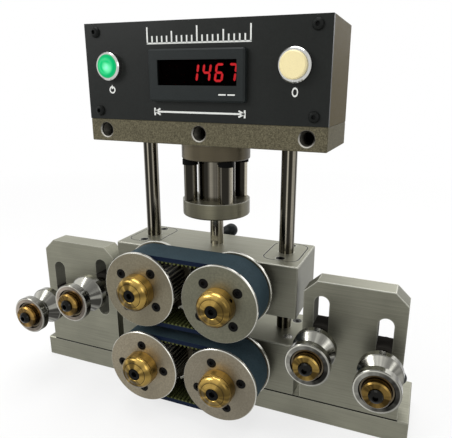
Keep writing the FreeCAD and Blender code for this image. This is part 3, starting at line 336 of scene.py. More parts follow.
    def edges(self, width):
        """Share from 0 on open faces to 1 along the upper edges, fainter along the others: where painted edge
        highlights go, strongest where light from above falls.
        """
        soft = self.node("Bevel", Radius=width).outputs[0]
        hard = self.node("NewGeometry").outputs["True Normal"]
        turn = self.vector("DOT_PRODUCT", soft, hard)["Value"]
        _, _, up = self.parts(soft)
        return self.times(self.span(turn, 0.88, 0.995, 1.0, 0.0), self.span(up, 0.05, 0.45, 0.22, 1.0))

    def bump(self, height, distance, strength=1.0):
        made = self.node("Bump", Height=height, Distance=distance, Strength=strength)
        self.put("Normal", made.outputs[0])


def milled(name, colour, grain, roughness, top_light=0.55, edge_highlight=0.8):
    """Milled and brushed finish, its top faces made paler as painted light from above and its edges made bright
    as painted highlights: the finish and its colour.
    """
    f = Finish(name, colour, 0.85, roughness)
    strokes = f.noise(f.place(scale=grain), 8.0, 4.0, 0.7)
    cloud = f.noise(f.place(), 22.0, 3.0)
    f.put("Roughness", f.spread(strokes, roughness - 0.09, roughness + 0.09))
    f.bump(strokes, 0.00006, 0.5)
    _, _, up = f.parts(f.facing())
    tone = f.shade(f.span(f.mean(strokes, 0.6, cloud), 0.38, 0.62), 0.20)
    # Painted light: top faces paler, as light from above falls on them.
    tone = f.blend(f.times(f.above(up, FACES_AXIS), top_light), tone, tinted(colour, 2.0))
    # Painted highlights along the edges, strongest on the upper ones.
    return f, f.blend(f.times(f.edges(EDGE_HIGHLIGHT_WIDTH), edge_highlight), tone, EDGE_HIGHLIGHT)


def cylinder_cap_metal(name, colour, shift):
    """Turned upright cap: fine rings round it, and soft bands of dark and bright from side to side as a painted
    reflection.
    """
    f, tone = milled(name, colour, (6, 6, 500), 0.36, 0.4)
    # Painted reflection: dark bands from side to side.
    bands = f.bands(f.facing((1, 1, 0.2)), 1.4, shift, 0.38, 0.62)
    f.put("Base Color", f.blend(f.times(bands, 0.8), tone, tinted(colour, 0.36)))
    return f.material


def stacked(name, colour, top_light, depth, edge_highlight):
    """Brushed metal of the base and what stands on it: the slots' inner walls darkened by depth as painted
    shade, and the groove at the joint in front darkened as painted shade.
    """
    f, tone = milled(name, colour, BRUSHED, 0.42, top_light, edge_highlight)
    plate, half = middle("roller_plate_left"), half_size("roller_plate_left")
    low = plate - half
    x, y, z = f.parts(f.place())
    _, across, _ = f.parts(f.facing())
    # Painted shade in the groove where the plates and block meet the base, along their front.
    joint = f.times(f.within(z, low.z, JOINT_HALF_HEIGHT), f.within(y, low.y, JOINT_DEPTH),
                    f.below(f.absolute(x), -low.x))
    inside = 0.0
    for roller in ROLLERS:
        inside = f.math("MAXIMUM", f.within(x, middle("roller_axle_" + roller).x, SLOT_HALF_WIDTH), inside)
    inside = f.times(inside, f.within(across, 0.0, 0.5), f.within(y, plate.y, half.y),
                     f.within(z, plate.z, half.z - SLOT_END))
    # Painted shade: the slots' inner walls darkened towards black by depth.
    tone = f.blend(f.times(inside, depth), tone, BLACK)
    # The groove at the joint: painted shade.
    f.put("Base Color", f.blend(joint, tone, (0.008, 0.008, 0.006)))
    f.put("Metallic", f.span(inside, 0.0, 1.0, 0.85, 0.1))
    f.put("Roughness", f.span(inside, 0.0, 1.0, 0.42, 0.85))
    return f.material


def fit_line(f):
    """Share of a thin line round the oblong flanges on top of the carriage, on both sides of their fit."""
    s = sizes()
    half_x, half_y, corner = s.oblong_width / 2, s.oblong_length / 2, s.oblong_corner
    centre, high = middle("linear_bearings"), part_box("linear_bearings")[1]
    x, y, z = f.parts(f.place((0, centre.y, high.z)))
    sideways = f.minus(f.absolute(x), high.x - half_x)
    reach_x = f.minus(f.absolute(sideways), half_x - corner)
    reach_y = f.minus(f.absolute(y), half_y - corner)
    out = f.distance(f.math("MAXIMUM", reach_x, 0.0), f.math("MAXIMUM", reach_y, 0.0))
    past = f.plus(out, f.math("MINIMUM", f.math("MAXIMUM", reach_x, reach_y), 0.0))
    return f.times(f.within(past, corner, FIT_LINE), f.within(z, 0.0, FIT_LINE_DEPTH))


def carriage_metal(name, colour):
    """Brushed metal with the dark joint round the two oblong flanges let into it."""
    # Top faces paler as painted light from above, edges bright as painted highlights.
    f, tone = milled(name, colour, BRUSHED, 0.42, 0.95, 0.85)
    f.put("Base Color", f.blend(fit_line(f), tone, (0.012, 0.012, 0.010)))
    return f.material


def turned(name, colour, centre, roughness=0.3, metallic=1.0):
    """Lathe-turned metal about an axis along Y."""
    f = Finish(name, colour, metallic, roughness)
    rings = f.rings(centre, 1400.0)
    f.put("Base Color", f.shade(f.spread(rings), 0.16))
    f.put("Roughness", f.spread(rings, roughness * 0.75, roughness * 1.3))
    f.bump(rings, 0.00004, 0.5)
    return f.material


def turned_brass(name, colour, node, shift, groove_depths=(), groove_radii=(), collar_blur=0.0):
    """Turned brass: fine rings; bands of painted reflection round the axis and painted light towards the top;
    and dark lines in its grooves as painted shade.
    """
    f = Finish(name, colour, 1.0, 0.24)
    centre = middle(node)
    rings = f.rings(centre, 1400.0)
    bands = f.bands(f.around(centre), 1.6, shift, 0.40, 0.60)
    _, across, up = f.parts(f.facing())
    # Painted light and reflection: brighter towards the top, with bands round the axis.
    share = f.plus(f.times(bands, 0.5), f.span(up, -0.75, 0.75, 0.0, 0.5))
    share = f.math("POWER", share, 1.7)
    nose = f.blend(share, tinted(colour, 0.08), tinted(colour, (1.9, 1.9, 1.7)))
    # The straight collar takes a brighter range: painted reflection.
    collar = f.blend(share, tinted(colour, 0.38), tinted(colour, (2.6, 2.5, 2.2)))
    straight = f.below(f.absolute(across), 0.3)
    tone = f.blend(straight, nose, collar)
    _, y, _ = f.parts(f.place((0, front_of(node), 0)))
    radius = f.radius(centre)
    # Dark lines in the grooves: painted shade.
    lines = [f.within(y, depth, GROOVE_HALF_WIDTH) for depth in groove_depths]
    lines += [f.within(radius, size, RING_HALF_WIDTH) for size in groove_radii]
    for line in lines:
        tone = f.blend(f.times(line, 0.75), tone, tinted(colour, 0.10))
    f.put("Base Color", f.blend(f.spread(rings, 0.0, 0.22), tone, (0.05, 0.028, 0.008)))
    f.put("Roughness", f.plus(f.spread(rings, 0.17, 0.31), f.times(straight, collar_blur)))
    f.bump(rings, 0.00004, 0.5)
    return f.material


def screw_metal(name, node):
    """Screws of bright steel: the front ones made paler as painted light, the rear ones darkened as painted
    shade.
    """
    f = Finish(name, (0.88, 0.88, 0.85), 0.85, 0.2)
    grain = f.noise(f.place(), 1200.0, 2.0)
    _, y, _ = f.parts(f.place(middle(node)))
    front = f.blend(f.spread(grain), (0.70, 0.70, 0.67), (0.95, 0.95, 0.92))
    rear = f.blend(f.spread(grain), (0.05, 0.05, 0.045), (0.09, 0.09, 0.08))
    # Painted light on the front screws, painted shade on the rear ones.
    f.put("Base Color", f.blend(f.above(y, 0.0), front, rear))
    f.put("Roughness", f.spread(grain, 0.14, 0.26))
    return f.material


def drawn(name, colour, roughness=0.16, shift=0.0):
    """Ground or drawn steel: dark and bright bands of painted reflection run along an upright bar."""
    f = Finish(name, colour, 1.0, roughness)
    marks = f.noise(f.place(scale=(12, 12, 900)), 3.0, 3.0)
    # Painted reflection: dark and bright bands along the bar.
    bands = f.bands(f.facing((1, 1, 0.25)), 1.9, shift, 0.42, 0.62)
    share = f.math("POWER", bands, 1.6)
    tone = f.blend(share, tinted(colour, 0.22), [min(1.0, v) for v in tinted(colour, 4.6)])
    f.put("Base Color", f.blend(f.spread(marks, 0.0, 0.18), tone, (0.02, 0.018, 0.014)))
    f.put("Roughness", f.spread(marks, roughness * 0.7, roughness * 1.5))
    f.bump(marks, 0.00002, 0.4)
    return f.material


def roller_metal(name, node):
    """Polished roller: cones and end faces with painted light from the upper left and bands of painted
    reflection, a painted highlight round each end face's edge, a chamfer darkened as painted shade, and a dark
    bearing let into each end, darkened further as painted shade.
    """
    c = colours()
    f = Finish(name, c.roller, 1.0, 0.16)
    centre = middle(node)
    radius = f.radius(centre)
    rings = f.rings(centre, 1600.0)
    bands = f.bands(f.around(centre), 2.1, centre.x * 40, 0.42, 0.58)
    turn, across, up = f.parts(f.facing())
    across = f.absolute(across)
    flat = f.above(across, FACES_AXIS)
    # Painted light and reflection on the cones: brighter towards the upper left, with bands round the axis.
    slope = f.minus(up, f.times(turn, 0.9))
    share = f.plus(f.times(bands, 0.52), f.span(slope, -0.7, 0.7, 0.0, 0.48))
    cone = f.blend(f.math("POWER", share, 1.2), tinted(c.roller, 0.13), tinted(c.roller, 1.6))
    # End faces lit from the upper left as painted light; the right-hand rollers' faces darker as painted shade,
    # the left-hand ones warmer.
    left = centre.x < 0
    dull, bright = (0.34, 1.05) if left else (0.03, 0.85)
    warm = tinted(c.roller, (1.08, 0.94, 0.88) if left else 1.0)
    sideways, _, rise = f.parts(f.around(centre))
    lean = f.minus(f.times(rise, 0.3), sideways)
    lit = f.math("POWER", f.plus(f.span(lean, -1.0, 1.0, 0.0, 0.75), f.times(bands, 0.25)), 1.7)
    face = f.blend(lit, tinted(warm, dull), tinted(warm, bright))
    # Painted highlight in a ring round the edge of each end face.
    edge = f.times(f.span(radius, *ROLLER_EDGE), f.span(lit, 0.0, 0.6, 0.45, 0.9))
    tone = f.blend(flat, cone, f.blend(edge, face, tinted(c.roller, 1.7)))
    # The rim's chamfer darkened: painted shade.
    rim = f.times(f.above(radius, ROLLER_RIM), f.above(across, 0.3), f.minus(1.0, flat))
    tone = f.blend(rim, tone, tinted(c.roller, 0.55))
    tone = f.blend(f.spread(rings, 0.0, 0.15), tone, (0.05, 0.05, 0.045))
    _, y, _ = f.parts(f.place(centre))
    # The bearing: dark of its own, darkened further as painted shade in its recess, with a paler ring for its
    # outer race.
    inside = f.times(f.below(radius, BEARING_SEAT), f.above(f.absolute(y), BEARING_DEPTH))
    bearing = f.blend(f.within(radius, BEARING_RING, BEARING_RING_HALF),
                      (0.005, 0.004, 0.003), (0.11, 0.09, 0.06))
    f.put("Base Color", f.blend(inside, tone, bearing))
    f.put("Roughness", f.plus(f.spread(rings, 0.12, 0.24), f.times(inside, 0.15)))
    f.bump(rings, 0.00003, 0.4)
    return f.material


def axle_metal(name, node, cap_node):
    """Axle node: black slide block and button screw, bright spacer between them."""
    c = colours()
    f = Finish(name, c.steel, 1.0, 0.3, Specular_IOR_Level=0.0)
    _, y, _ = f.parts(f.place())
    rings = f.rings(middle(node), 1500.0)
    ahead = f.below(y, front_of(cap_node) - 0.01 * MM)
    in_plate = f.above(y, front_of("roller_plate_left") - 0.03 * MM)
    black = f.math("MAXIMUM", ahead, in_plate)
    dark = f.blend(ahead, (0.026, 0.024, 0.021), tinted(c.black, 4.5))
    f.put("Base Color", f.blend(black, f.shade(f.spread(rings), 0.15), dark))
    f.put("Roughness", f.plus(0.20, f.times(in_plate, 0.20)))
    f.put("Metallic", f.minus(1.0, in_plate))
    f.bump(rings, 0.00003, 0.3)
    return f.material


def flange_metal(name, node, tint):
    """Satin flange, lighter or darker by its tint as painted light, with bands of painted reflection and a
    bright rim that is a painted highlight.
    """
    colour = tinted(colours().flange, tint)
    f = Finish(name, colour, 0.85, 0.42)
    centre = middle(node)
    radius = f.radius(centre)
    rings = f.rings(centre, 900.0)
    specks = f.noise(f.place(), 650.0, 3.0)
    tone = f.shade(f.span(f.mean(rings, 0.35, specks), 0.40, 0.60), 0.13)
    # Painted reflection: dark bands round the axis.
    bands = f.bands(f.around(centre), 0.8, centre.x * 30, 0.38, 0.62)
    tone = f.blend(f.times(bands, 0.45), tone, tinted(colour, 0.62))
    # Painted highlight on the rim.
    rim = f.span(radius, *FLANGE_RIM)
    f.put("Base Color", f.blend(rim, tone, (0.60, 0.59, 0.54)))
    f.put("Roughness", f.minus(0.44, f.times(rim, 0.22)))
    f.bump(rings, 0.00002, 0.3)
    return f.material


def wheel_metal(name, flange):
    """Toothed wheel with pale tooth tips as a painted highlight and darker gaps below them as painted shade,
    and its bright shaft.
    """
    c = colours()
    f = Finish(name, c.pulley, 0.7, 0.4)
    radius = f.radius(middle(flange))
    scuffs = f.noise(f.place(scale=(1, 0.08, 1)), 900.0, 3.0)
    # Painted highlight on the tooth tips, with scuffs; painted shade below them in the gaps.
    tips = f.span(radius, *TOOTH_TIPS)
    tip_highlight = f.blend(f.span(scuffs, 0.35, 0.65), tinted(c.pulley, 0.7), (0.26, 0.245, 0.19))
    bare = f.below(radius, WHEEL_SHAFT)
    f.put("Base Color", f.blend(bare, f.blend(tips, (0.010, 0.010, 0.009), tip_highlight), (0.30, 0.29, 0.26)))
    f.put("Roughness", f.plus(0.34, f.times(scuffs, 0.2)))
    f.bump(scuffs, 0.00004, 0.5)
    return f.material


def belt_rubber(name, node, left, right):
    """Belt: woven cover outside, dark cut edges and a moulded toothed face inside."""
    c = colours()
    f = Finish(name, c.belt, 0.0, 0.7, Specular_IOR_Level=0.10)
    size = half_size(node)
    reach = (middle(right).x - middle(left).x) / 2
    x, y, z = f.parts(f.place(middle(node)))
    radius = f.distance(f.math("MAXIMUM", f.minus(f.absolute(x), reach), 0.0), z)
    edge = f.above(f.absolute(y), size.y - 0.05 * MM)
    cover = f.above(radius, size.z - BELT_COVER)
    weave = f.noise(f.place(scale=(1, 1.4, 1)), 900.0, 2.0)
    patches = f.noise(f.place(), 60.0, 3.0)
    cloth = f.shade(f.span(f.mean(weave, 0.7, patches), 0.38, 0.62), 0.20)
    grime = f.noise(f.place(), 500.0, 3.0)
    teeth = f.blend(f.span(grime, 0.35, 0.7), c.belt_teeth, (0.022, 0.026, 0.010))
    rim = f.blend(f.span(radius, size.z - BELT_CORD[0], size.z - BELT_CORD[1]), c.belt_teeth, c.belt_edge)
    inner = f.blend(edge, teeth, rim)
    f.put("Base Color", f.blend(f.times(cover, f.minus(1.0, edge)), inner, cloth))
    f.bump(weave, 0.00008, 0.6)
    return f.material


def flecked(name, colour, speckle, scale):
    """Textured paint with light and dark flecks: the finish and its colour, not linked yet."""
    f = Finish(name, colour, 0.0, 0.5, Specular_IOR_Level=0.04)
    flecks = f.noise(f.place(), scale, 4.0, 0.75)
    coarse = f.noise(f.place(), scale * 0.35, 2.0)
    f.put("Roughness", f.spread(flecks, 0.42, 0.62))
    f.bump(flecks, 0.00018, 0.5)
    return f, f.shade(f.span(f.mean(flecks, 0.85, coarse), 0.40, 0.60), speckle)


def hammertone(name, colour, speckle, scale):
    """Textured paint."""
    f, tone = flecked(name, colour, speckle, scale)
    f.put("Base Color", tone)
    return f.material


def head_paint(name, colour):
    """Speckled paint, with a bare mouth at each of the three front holes, brighter where it faces up and to the
    right as painted light, and a dark bore as painted shade.
    """
    f, tone = flecked(name, colour, 0.50, 1500.0)
    half = sizes().hole_spacing / 2
    x, y, z = f.parts(f.place((0, front_of("head_plate"), middle("head_plate").z)))
    side = f.minus(f.absolute(f.minus(f.absolute(x), half)), half)
    mouth = f.below(f.distance(side, z), HOLE_MOUTH)
    bore = f.times(mouth, f.above(y, HOLE_LIP), f.below(y, HOLE_DEPTH))
    shine = f.times(mouth, f.below(y, HOLE_LIP))
    # Painted light on the mouth: brighter where it faces up and to the right.
    sideways, _, rise = f.parts(f.facing())
    lean = f.plus(rise, f.times(sideways, 0.55))
    lip = f.blend(f.span(lean, -0.25, 0.75), (0.016, 0.014, 0.011), (0.60, 0.58, 0.52))
    # Painted shade in the bore.
    f.put("Base Color", f.blend(bore, f.blend(shine, tone, lip), (0.004, 0.004, 0.003)))
    return f.material


def moulded(name, colour, roughness=0.42, scale=1300.0, depth=0.00005, shine=0.15, mottle=0.14):
    """Moulded plastic with a fine grain."""
    f = Finish(name, colour, 0.0, roughness, Specular_IOR_Level=shine)
    grain = f.noise(f.place(), scale, 3.0)
    cloud = f.noise(f.place(), 40.0, 2.0)
    f.put("Base Color", f.shade(f.span(f.mean(grain, 0.6, cloud), 0.36, 0.64), mottle))
    f.put("Roughness", f.spread(grain, roughness - 0.06, roughness + 0.08))
    f.bump(grain, depth, 0.4)
    return f.material


def oxide(name):
    """Blackened steel with a little oil sheen."""
    f = Finish(name, colours().black, 0.0, 0.34, Specular_IOR_Level=0.06)
    cloud = f.noise(f.place(), 600.0, 3.0)
    f.put("Base Color", f.shade(cloud, 0.5))
    f.put("Roughness", f.spread(cloud, 0.26, 0.44))
    return f.material


def window_glass(name):
    """Dark red filter in front of the digits."""
    f = Finish(name, (0.001, 0.0, 0.0), 0.0, 0.08, Alpha=0.35, Specular_IOR_Level=0.0)
    haze = f.noise(f.place(), 120.0, 2.0)
    f.put("Roughness", f.spread(haze, 0.05, 0.12))
    return f.material


def lamp_lens(name, node):
    """Lit lens: bright hot spot inside a green dome with moulded rings."""
    c = colours()
    f = Finish(name, c.lamp, 0.0, 0.18, Specular_IOR_Level=0.03)
    centre = middle(node)
    spot = f.radius(centre + Vector((1.6 * MM, 0, -1.2 * MM)))
    wave = f.node("TexWave", Vector=f.place(centre), Scale=90.0, Distortion=0.0)
    wave.wave_type = "RINGS"
    wave.rings_direction = "Y"
    rings = f.span(wave.outputs[1], 0.0, 1.0, 0.0, 0.12)
    hot = f.span(spot, *HOT_SPOT, 1.0, 0.0)
    f.put("Emission Color", f.blend(f.plus(f.times(hot, 0.8), rings), c.lamp, (0.30, 1.0, 0.60)))
    f.put("Emission Strength", f.span(f.radius(centre), *LENS_GLOW, 1.15, 0.75))
    f.put("Base Color", f.blend(hot, tinted(c.lamp, 0.1), (0.01, 0.15, 0.06)))
    return f.material


def lit_segment(name):
    """Glowing bar of a digit, a little uneven along its length."""
    f = Finish(name, colours().digit, 0.0, 0.4)
    grain = f.noise(f.place(), 900.0, 2.0)
    f.put("Emission Color", f.shade(grain, 0.25))
    f.put("Emission Strength", 0.36)
    return f.material


def printed(name):
    """White printing ink."""
    f = Finish(name, (0.72, 0.73, 0.70), 0.0, 0.5)
    grain = f.noise(f.place(), 2500.0, 2.0)
    f.put("Base Color", f.shade(f.spread(grain), 0.08))
    f.bump(grain, 0.00001, 0.3)
    return f.material


def dress(material, *nodes):
    """Give nodes of the model their finish."""
    for node in nodes:
        slots = NODES[node].data.materials
        if len(slots) == 0:
            slots.append(material)
        for index in range(len(slots)):
            slots[index] = material


# ---------------------------------------------------------------- modelling helpers
def start(name, primitive, **options):
    """A new mesh piece, alone selected and active, from one of Blender's primitives."""
    bpy.ops.object.select_all(action="DESELECT")
    getattr(bpy.ops.mesh, "primitive_%s_add" % primitive)(**options)
    piece = bpy.context.object
    piece.name = name
    piece.data.name = name
    return piece


def only(piece):
    """Leave just one piece selected, and active."""
    bpy.ops.object.select_all(action="DESELECT")
    piece.select_set(True)
    bpy.context.view_layer.objects.active = piece


def pick(piece, wanted):
    """Enter edit mode with just the faces selected whose (middle, normal) are wanted."""
    only(piece)
    mesh = piece.data
    for group in (mesh.vertices, mesh.edges, mesh.polygons):
        for item in group:
            item.select = False
    chosen = 0
    for face in mesh.polygons:
        if wanted(face.center, face.normal):
            face.select = True
            chosen += 1
    if not chosen:
        raise RuntimeError("%s has no such face" % piece.name)
    bpy.context.tool_settings.mesh_select_mode = (False, False, True)
    bpy.ops.object.mode_set(mode="EDIT")


def leave():
    bpy.ops.object.mode_set(mode="OBJECT")


def extrude(move, widen=None):
    """In edit mode, draw the picked faces on by a move, and scale the new ones."""
    bpy.ops.mesh.extrude_region_move(TRANSFORM_OT_translate={"value": move})
    if widen:
        bpy.ops.transform.resize(value=widen)


def modify(piece, kind, **settings):
    """Add a modifier with its settings and apply it."""
    only(piece)
    modifier = piece.modifiers.new(kind.title(), kind)
    for key, value in settings.items():
        setattr(modifier, key, value)
    bpy.ops.object.modifier_apply(modifier=modifier.name)


def cut(piece, cutter):
    """Take a cutter's shape out of a piece, and remove the cutter."""
    modify(piece, "BOOLEAN", operation="DIFFERENCE", object=cutter, solver="EXACT")
    bpy.data.objects.remove(cutter)


def settle(piece, place=(0, 0, 0), facing_front=False, spin=0.0):
    """Turn a piece modelled upright about Z, put it at its place and keep that in its mesh."""
    only(piece)
    turn = Matrix.Rotation(math.pi / 2, 4, "X") if facing_front else Matrix.Identity(4)
    piece.matrix_world = Matrix.Translation(place) @ turn @ Matrix.Rotation(spin, 4, "Z")
    bpy.ops.object.transform_apply(location=True, rotation=True, scale=True)


def copy_of(piece, name):
    only(piece)
    bpy.ops.object.duplicate(linked=False)
    twin = bpy.context.object
    twin.name = name
    twin.data.name = name
    return twin


def joined(name, pieces):
    """One piece from several."""
    bpy.ops.object.select_all(action="DESELECT")
    for piece in pieces:
        piece.select_set(True)
    bpy.context.view_layer.objects.active = pieces[0]
    bpy.ops.object.join()
    pieces[0].name = name
    pieces[0].data.name = name
    return pieces[0]


def complete(piece, material, body, angle=30):
    """Shade a piece, give it its finish, and tell which body it rides."""
    only(piece)
    bpy.ops.object.shade_smooth_by_angle(angle=math.radians(angle))
    piece.data.materials.clear()
    piece.data.materials.append(material)
    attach(piece, body)
    return piece


def socket_head(name, radius, height, socket, depth, edge):
    """Round screw head along Z with a bevelled rim and a hexagon socket."""
    head = start(name, "cylinder", vertices=48, radius=radius, depth=height, location=(0, 0, -height / 2))
    bpy.ops.object.transform_apply(location=True)
    pick(head, lambda at, normal: normal.z > 0.9)
    bpy.ops.mesh.bevel(offset=edge, segments=3, affect="EDGES")
    leave()
    cutter = start(name + "_cutter", "cylinder", vertices=6, radius=socket, depth=2 * depth, location=(0, 0, 0))
    pick(cutter, lambda at, normal: normal.z < -0.9)
    extrude((0, 0, -0.3 * socket), (0.1, 0.1, 1))
    leave()
    cut(head, cutter)
    rim = min(0.12 * socket, 0.3 * edge)
    modify(head, "BEVEL", width=rim, segments=1, limit_method="ANGLE", angle_limit=math.radians(50))
    return head


def turned_shape(name, outline, sides=96):
    """Closed turned piece about Z: a disc drawn on through an outline of (radius, height) steps."""
    radius, height = outline[0]
    piece = start(name, "circle", vertices=sides, radius=radius, fill_type="NGON", location=(0, 0, height))
    bpy.ops.object.transform_apply(location=True)
    pick(piece, lambda at, normal: True)
    for (last_radius, last_height), (radius, height) in zip(outline, outline[1:]):
        extrude((0, 0, height - last_height), (radius / last_radius, radius / last_radius, 1))
    bpy.ops.mesh.select_all(action="SELECT")
    bpy.ops.mesh.normals_make_consistent(inside=False)
    leave()
    return piece


def bar(name, width, height, thick, point=0.0):
    """Flat bar along X, with pointed ends when point is given, lying on the XY plane."""
    piece = start(name, "cube", size=1)
    piece.scale = (width - 2 * point, height, thick)
    bpy.ops.object.transform_apply(scale=True)
    if point:
        for side in (-1, 1):
            pick(piece, lambda at, normal: normal.x * side > 0.9)
            extrude((side * point, 0, 0), (1, 0.12, 1))
            leave()
    return piece


# ---------------------------------------------------------------- operators
class COUNTER_OT_finishes(bpy.types.Operator):
    """Give every piece of the model its finish"""
    bl_idname = "counter.finishes"
    bl_label = "Finishes"

    def execute(self, context):
        c = colours()
        # Per node: brightness, the left roller plate's paler copy being painted light from the left; paler tops
        # as painted light from above; darker slots as painted shade; bright edges as painted highlights.
        for node, bright, top_light, depth, edge_highlight in (
                ("base_plate", 1.14, 0.0, 0.0, 0.25), ("lower_block", 1.0, 0.7, 0.0, 0.5),
                ("roller_plate_left", 1.2, 0.4, 0.40, 0.35), ("roller_plate_right", 1.0, 0.3, 0.55, 0.95)):
            dress(stacked("aluminium_" + node, tinted(c.aluminium, bright), top_light, depth, edge_highlight), node)
        for node, label in (("upper_block", "carriage"), ("linear_bearings", "flanges")):
            dress(carriage_metal("aluminium_" + label, tinted(c.aluminium, 0.87)), node)
        # The top cap's darker tint is painted shadow from the head plate above it.
        for node, tint, shift in (("cylinder_top_cap", (0.70, 0.66, 0.57), 0.4),
                                  ("cylinder_bottom_cap", (0.87, 0.92, 0.87), 2.9)):
            dress(cylinder_cap_metal("aluminium_" + node, tinted(c.flange, tint), shift), node)
        for index, node in enumerate(("guide_rods", "cylinder_tube", "cylinder_posts", "piston_rod")):
            dress(drawn("steel_" + node, c.steel, shift=1.7 * index), node)
        dress(turned("bearing_steel", tinted(c.steel, 0.8), middle("lower_bearings")),
              "lower_bearings", "upper_bearings")
        dress(oxide("black_oxide"), "base_screws", "bearing_screws")
        dress(screw_metal("bright_screw", "block_screws"), "block_screws")
        dress(moulded("panel_screw_black", tinted(c.panel, 0.62), shine=0.10), "panel_screws")
        dress(head_paint("speckled_paint", c.paint), "head_plate")
        dress(hammertone("case_paint", c.case, 0.10, 900.0), "enclosure_shell")
        dress(moulded("panel_paint", c.panel, 0.38, 900.0, 0.00006), "front_panel")
        dress(moulded("counter_black", (0.0015, 0.0015, 0.0015), shine=0.0), "counter_body")
        dress(moulded("ring_black", c.black, shine=0.03), "post_rings")
        dress(moulded("black_plastic", c.plastic), "counter_bezel", "encoder", "carriage_lock_lever",
              *["clamp_lever_" + name for name in ROLLERS])
        dress(window_glass("display_window"), "counter_window")
        dress(turned("chrome_ring", (0.55, 0.55, 0.53), middle("control_rings"), 0.14), "control_rings")
        dress(lamp_lens("lit_lens", "lamp_lens"), "lamp_lens")
        dress(moulded("cream_plastic", c.cap, 0.30, 1500.0, 0.00003, 0.4, 0.04), "reset_button")
        for name in PULLEYS:
            flange, wheel = "pulley_flanges_" + name, "pulley_" + name
            dress(flange_metal("flange_metal_" + name, flange, FLANGE_LIGHT_AND_SHADE[name]), flange)
            dress(wheel_metal("wheel_metal_" + name, flange), wheel)
        for row in ("upper", "lower"):
            belt, hubs = row + "_belt", ["pulley_hub_%s_%s" % (row, side) for side in ("left", "right")]
            dress(belt_rubber(belt + "_rubber", belt, *hubs), belt)
        for name in ROLLERS:
            roller, cap, axle = "guide_roller_" + name, "roller_cap_" + name, "roller_axle_" + name
            dress(roller_metal("roller_metal_" + name, roller), roller)
            dress(turned_brass("cap_brass_" + name, tinted(c.brass, CAP_TINT_AND_SHADE[name]), cap, 5.0), cap)
            dress(axle_metal("axle_metal_" + name, axle, cap), axle)
        return {"FINISHED"}


class COUNTER_OT_flange_screws(bpy.types.Operator):
    """Four socket screws let into the front flange of each pulley"""
    bl_idname = "counter.flange_screws"
    bl_label = "Flange screws"

    def execute(self, context):
        s = sizes()
        pattern = socket_head("flange_screw", s.flange_screw_head, s.flange_screw_height,
                              s.flange_screw_socket, 0.62 * s.flange_screw_height, 0.35 * MM)
        finish = oxide("flange_screw_black")
        for name in PULLEYS:
            centre = middle("pulley_hub_" + name)
            front = front_of("pulley_flanges_" + name)
            for i in range(4):
                angle = math.radians(FLANGE_SCREW_ANGLES[name] + 90 * i)
                place = Vector((centre.x + s.flange_screw_circle * math.cos(angle), front - 0.1 * MM,
                                centre.z + s.flange_screw_circle * math.sin(angle)))
                screw = copy_of(pattern, "flange_screw_%s_%d" % (name, i + 1))
                settle(screw, place, True, angle)
                complete(screw, finish, "pulley_" + name)
        bpy.data.objects.remove(pattern)
        return {"FINISHED"}


class COUNTER_OT_hubs(bpy.types.Operator):
    """Brass hub of each pulley: a collar, a rounded nose, two fine grooves and a lip round the screw"""
    bl_idname = "counter.hubs"
    bl_label = "Hubs"

    def outline(self, s):
        """Steps of (radius, height) from the rear edge over the nose to the bottom of the screw's recess."""
        radius, ring, socket, nose = s.hub_radius, s.hub_ring, s.hub_socket, s.hub_nose
        groove, cut_half, chamfer, recess = nose - s.hub_groove, 0.22 * MM, 0.25 * MM, 5.0 * MM
        shoulder = groove + cut_half
        across, along = radius - ring - 0.32 * MM, nose - 0.85 * MM - shoulder
        steps = [(radius - chamfer, 0.0), (radius, chamfer), (radius, groove - cut_half),
                 (radius - 0.35 * MM, groove), (radius - 0.10 * MM, shoulder)]
        for turn in (math.radians(13 * i) for i in range(1, 7)):
            steps.append((ring + cut_half + across * math.cos(turn), shoulder + along * math.sin(turn)))
        return steps + [
            (ring, nose - 1.05 * MM), (ring - cut_half, nose - 0.75 * MM), (socket + 2.0 * MM, nose - 0.2 * MM),
            (socket + 1.5 * MM, nose), (socket + 0.3 * MM, nose),
            (socket, nose - chamfer), (socket, nose - recess)]

    def execute(self, context):
        s, c = sizes(), colours()
        steps = self.outline(s)
        pattern = turned_shape("hub", steps)
        pick(pattern, lambda at, normal: normal.z < -0.9)
        bore, bore_depth = s.shaft_bore / steps[0][0], 4.05 * MM
        extrude((0, 0, 0), (bore, bore, 1))
        extrude((0, 0, bore_depth))
        leave()
        hole = start("hole_cutter", "cylinder", vertices=24, radius=s.set_screw_hole, depth=6 * MM,
                     location=(s.hub_radius, 0, (s.hub_nose - s.hub_groove) / 2), rotation=(0, math.pi / 2, 0))
        bpy.ops.object.transform_apply(location=True, rotation=True)
        cut(pattern, hole)
        for name in PULLEYS:
            node = "pulley_hub_" + name
            centre, rear = middle(node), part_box(node)[1].y
            hub = copy_of(pattern, "hub_" + name)
            settle(hub, (centre.x, rear, centre.z), True, math.radians(HUB_HOLE_ANGLES[name]))
            finish = turned_brass("hub_brass_" + name, c.brass, node, 2.0 + centre.x * 20,
                                  (s.hub_groove,), (s.hub_ring,), 0.2)
            complete(hub, finish, "pulley_" + name, 24)
            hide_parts(node)
        bpy.data.objects.remove(pattern)
        return {"FINISHED"}


class COUNTER_OT_hub_screws(bpy.types.Operator):
    """One socket screw in the nose of each brass hub"""
    bl_idname = "counter.hub_screws"
    bl_label = "Hub screws"

    def execute(self, context):
        s = sizes()
        pattern = socket_head("hub_screw", s.hub_screw_head, s.hub_screw_height,
                              s.hub_screw_socket, 0.6 * s.hub_screw_height, 0.5 * MM)
        finish = oxide("hub_screw_black")
        for index, name in enumerate(PULLEYS):
            centre = middle("pulley_hub_" + name)
            place = Vector((centre.x, front_of("pulley_hub_" + name) + 0.25 * MM, centre.z))
            screw = copy_of(pattern, "hub_screw_" + name)
            settle(screw, place, True, 0.4 * index)
            complete(screw, finish, "pulley_" + name)
        bpy.data.objects.remove(pattern)
        return {"FINISHED"}


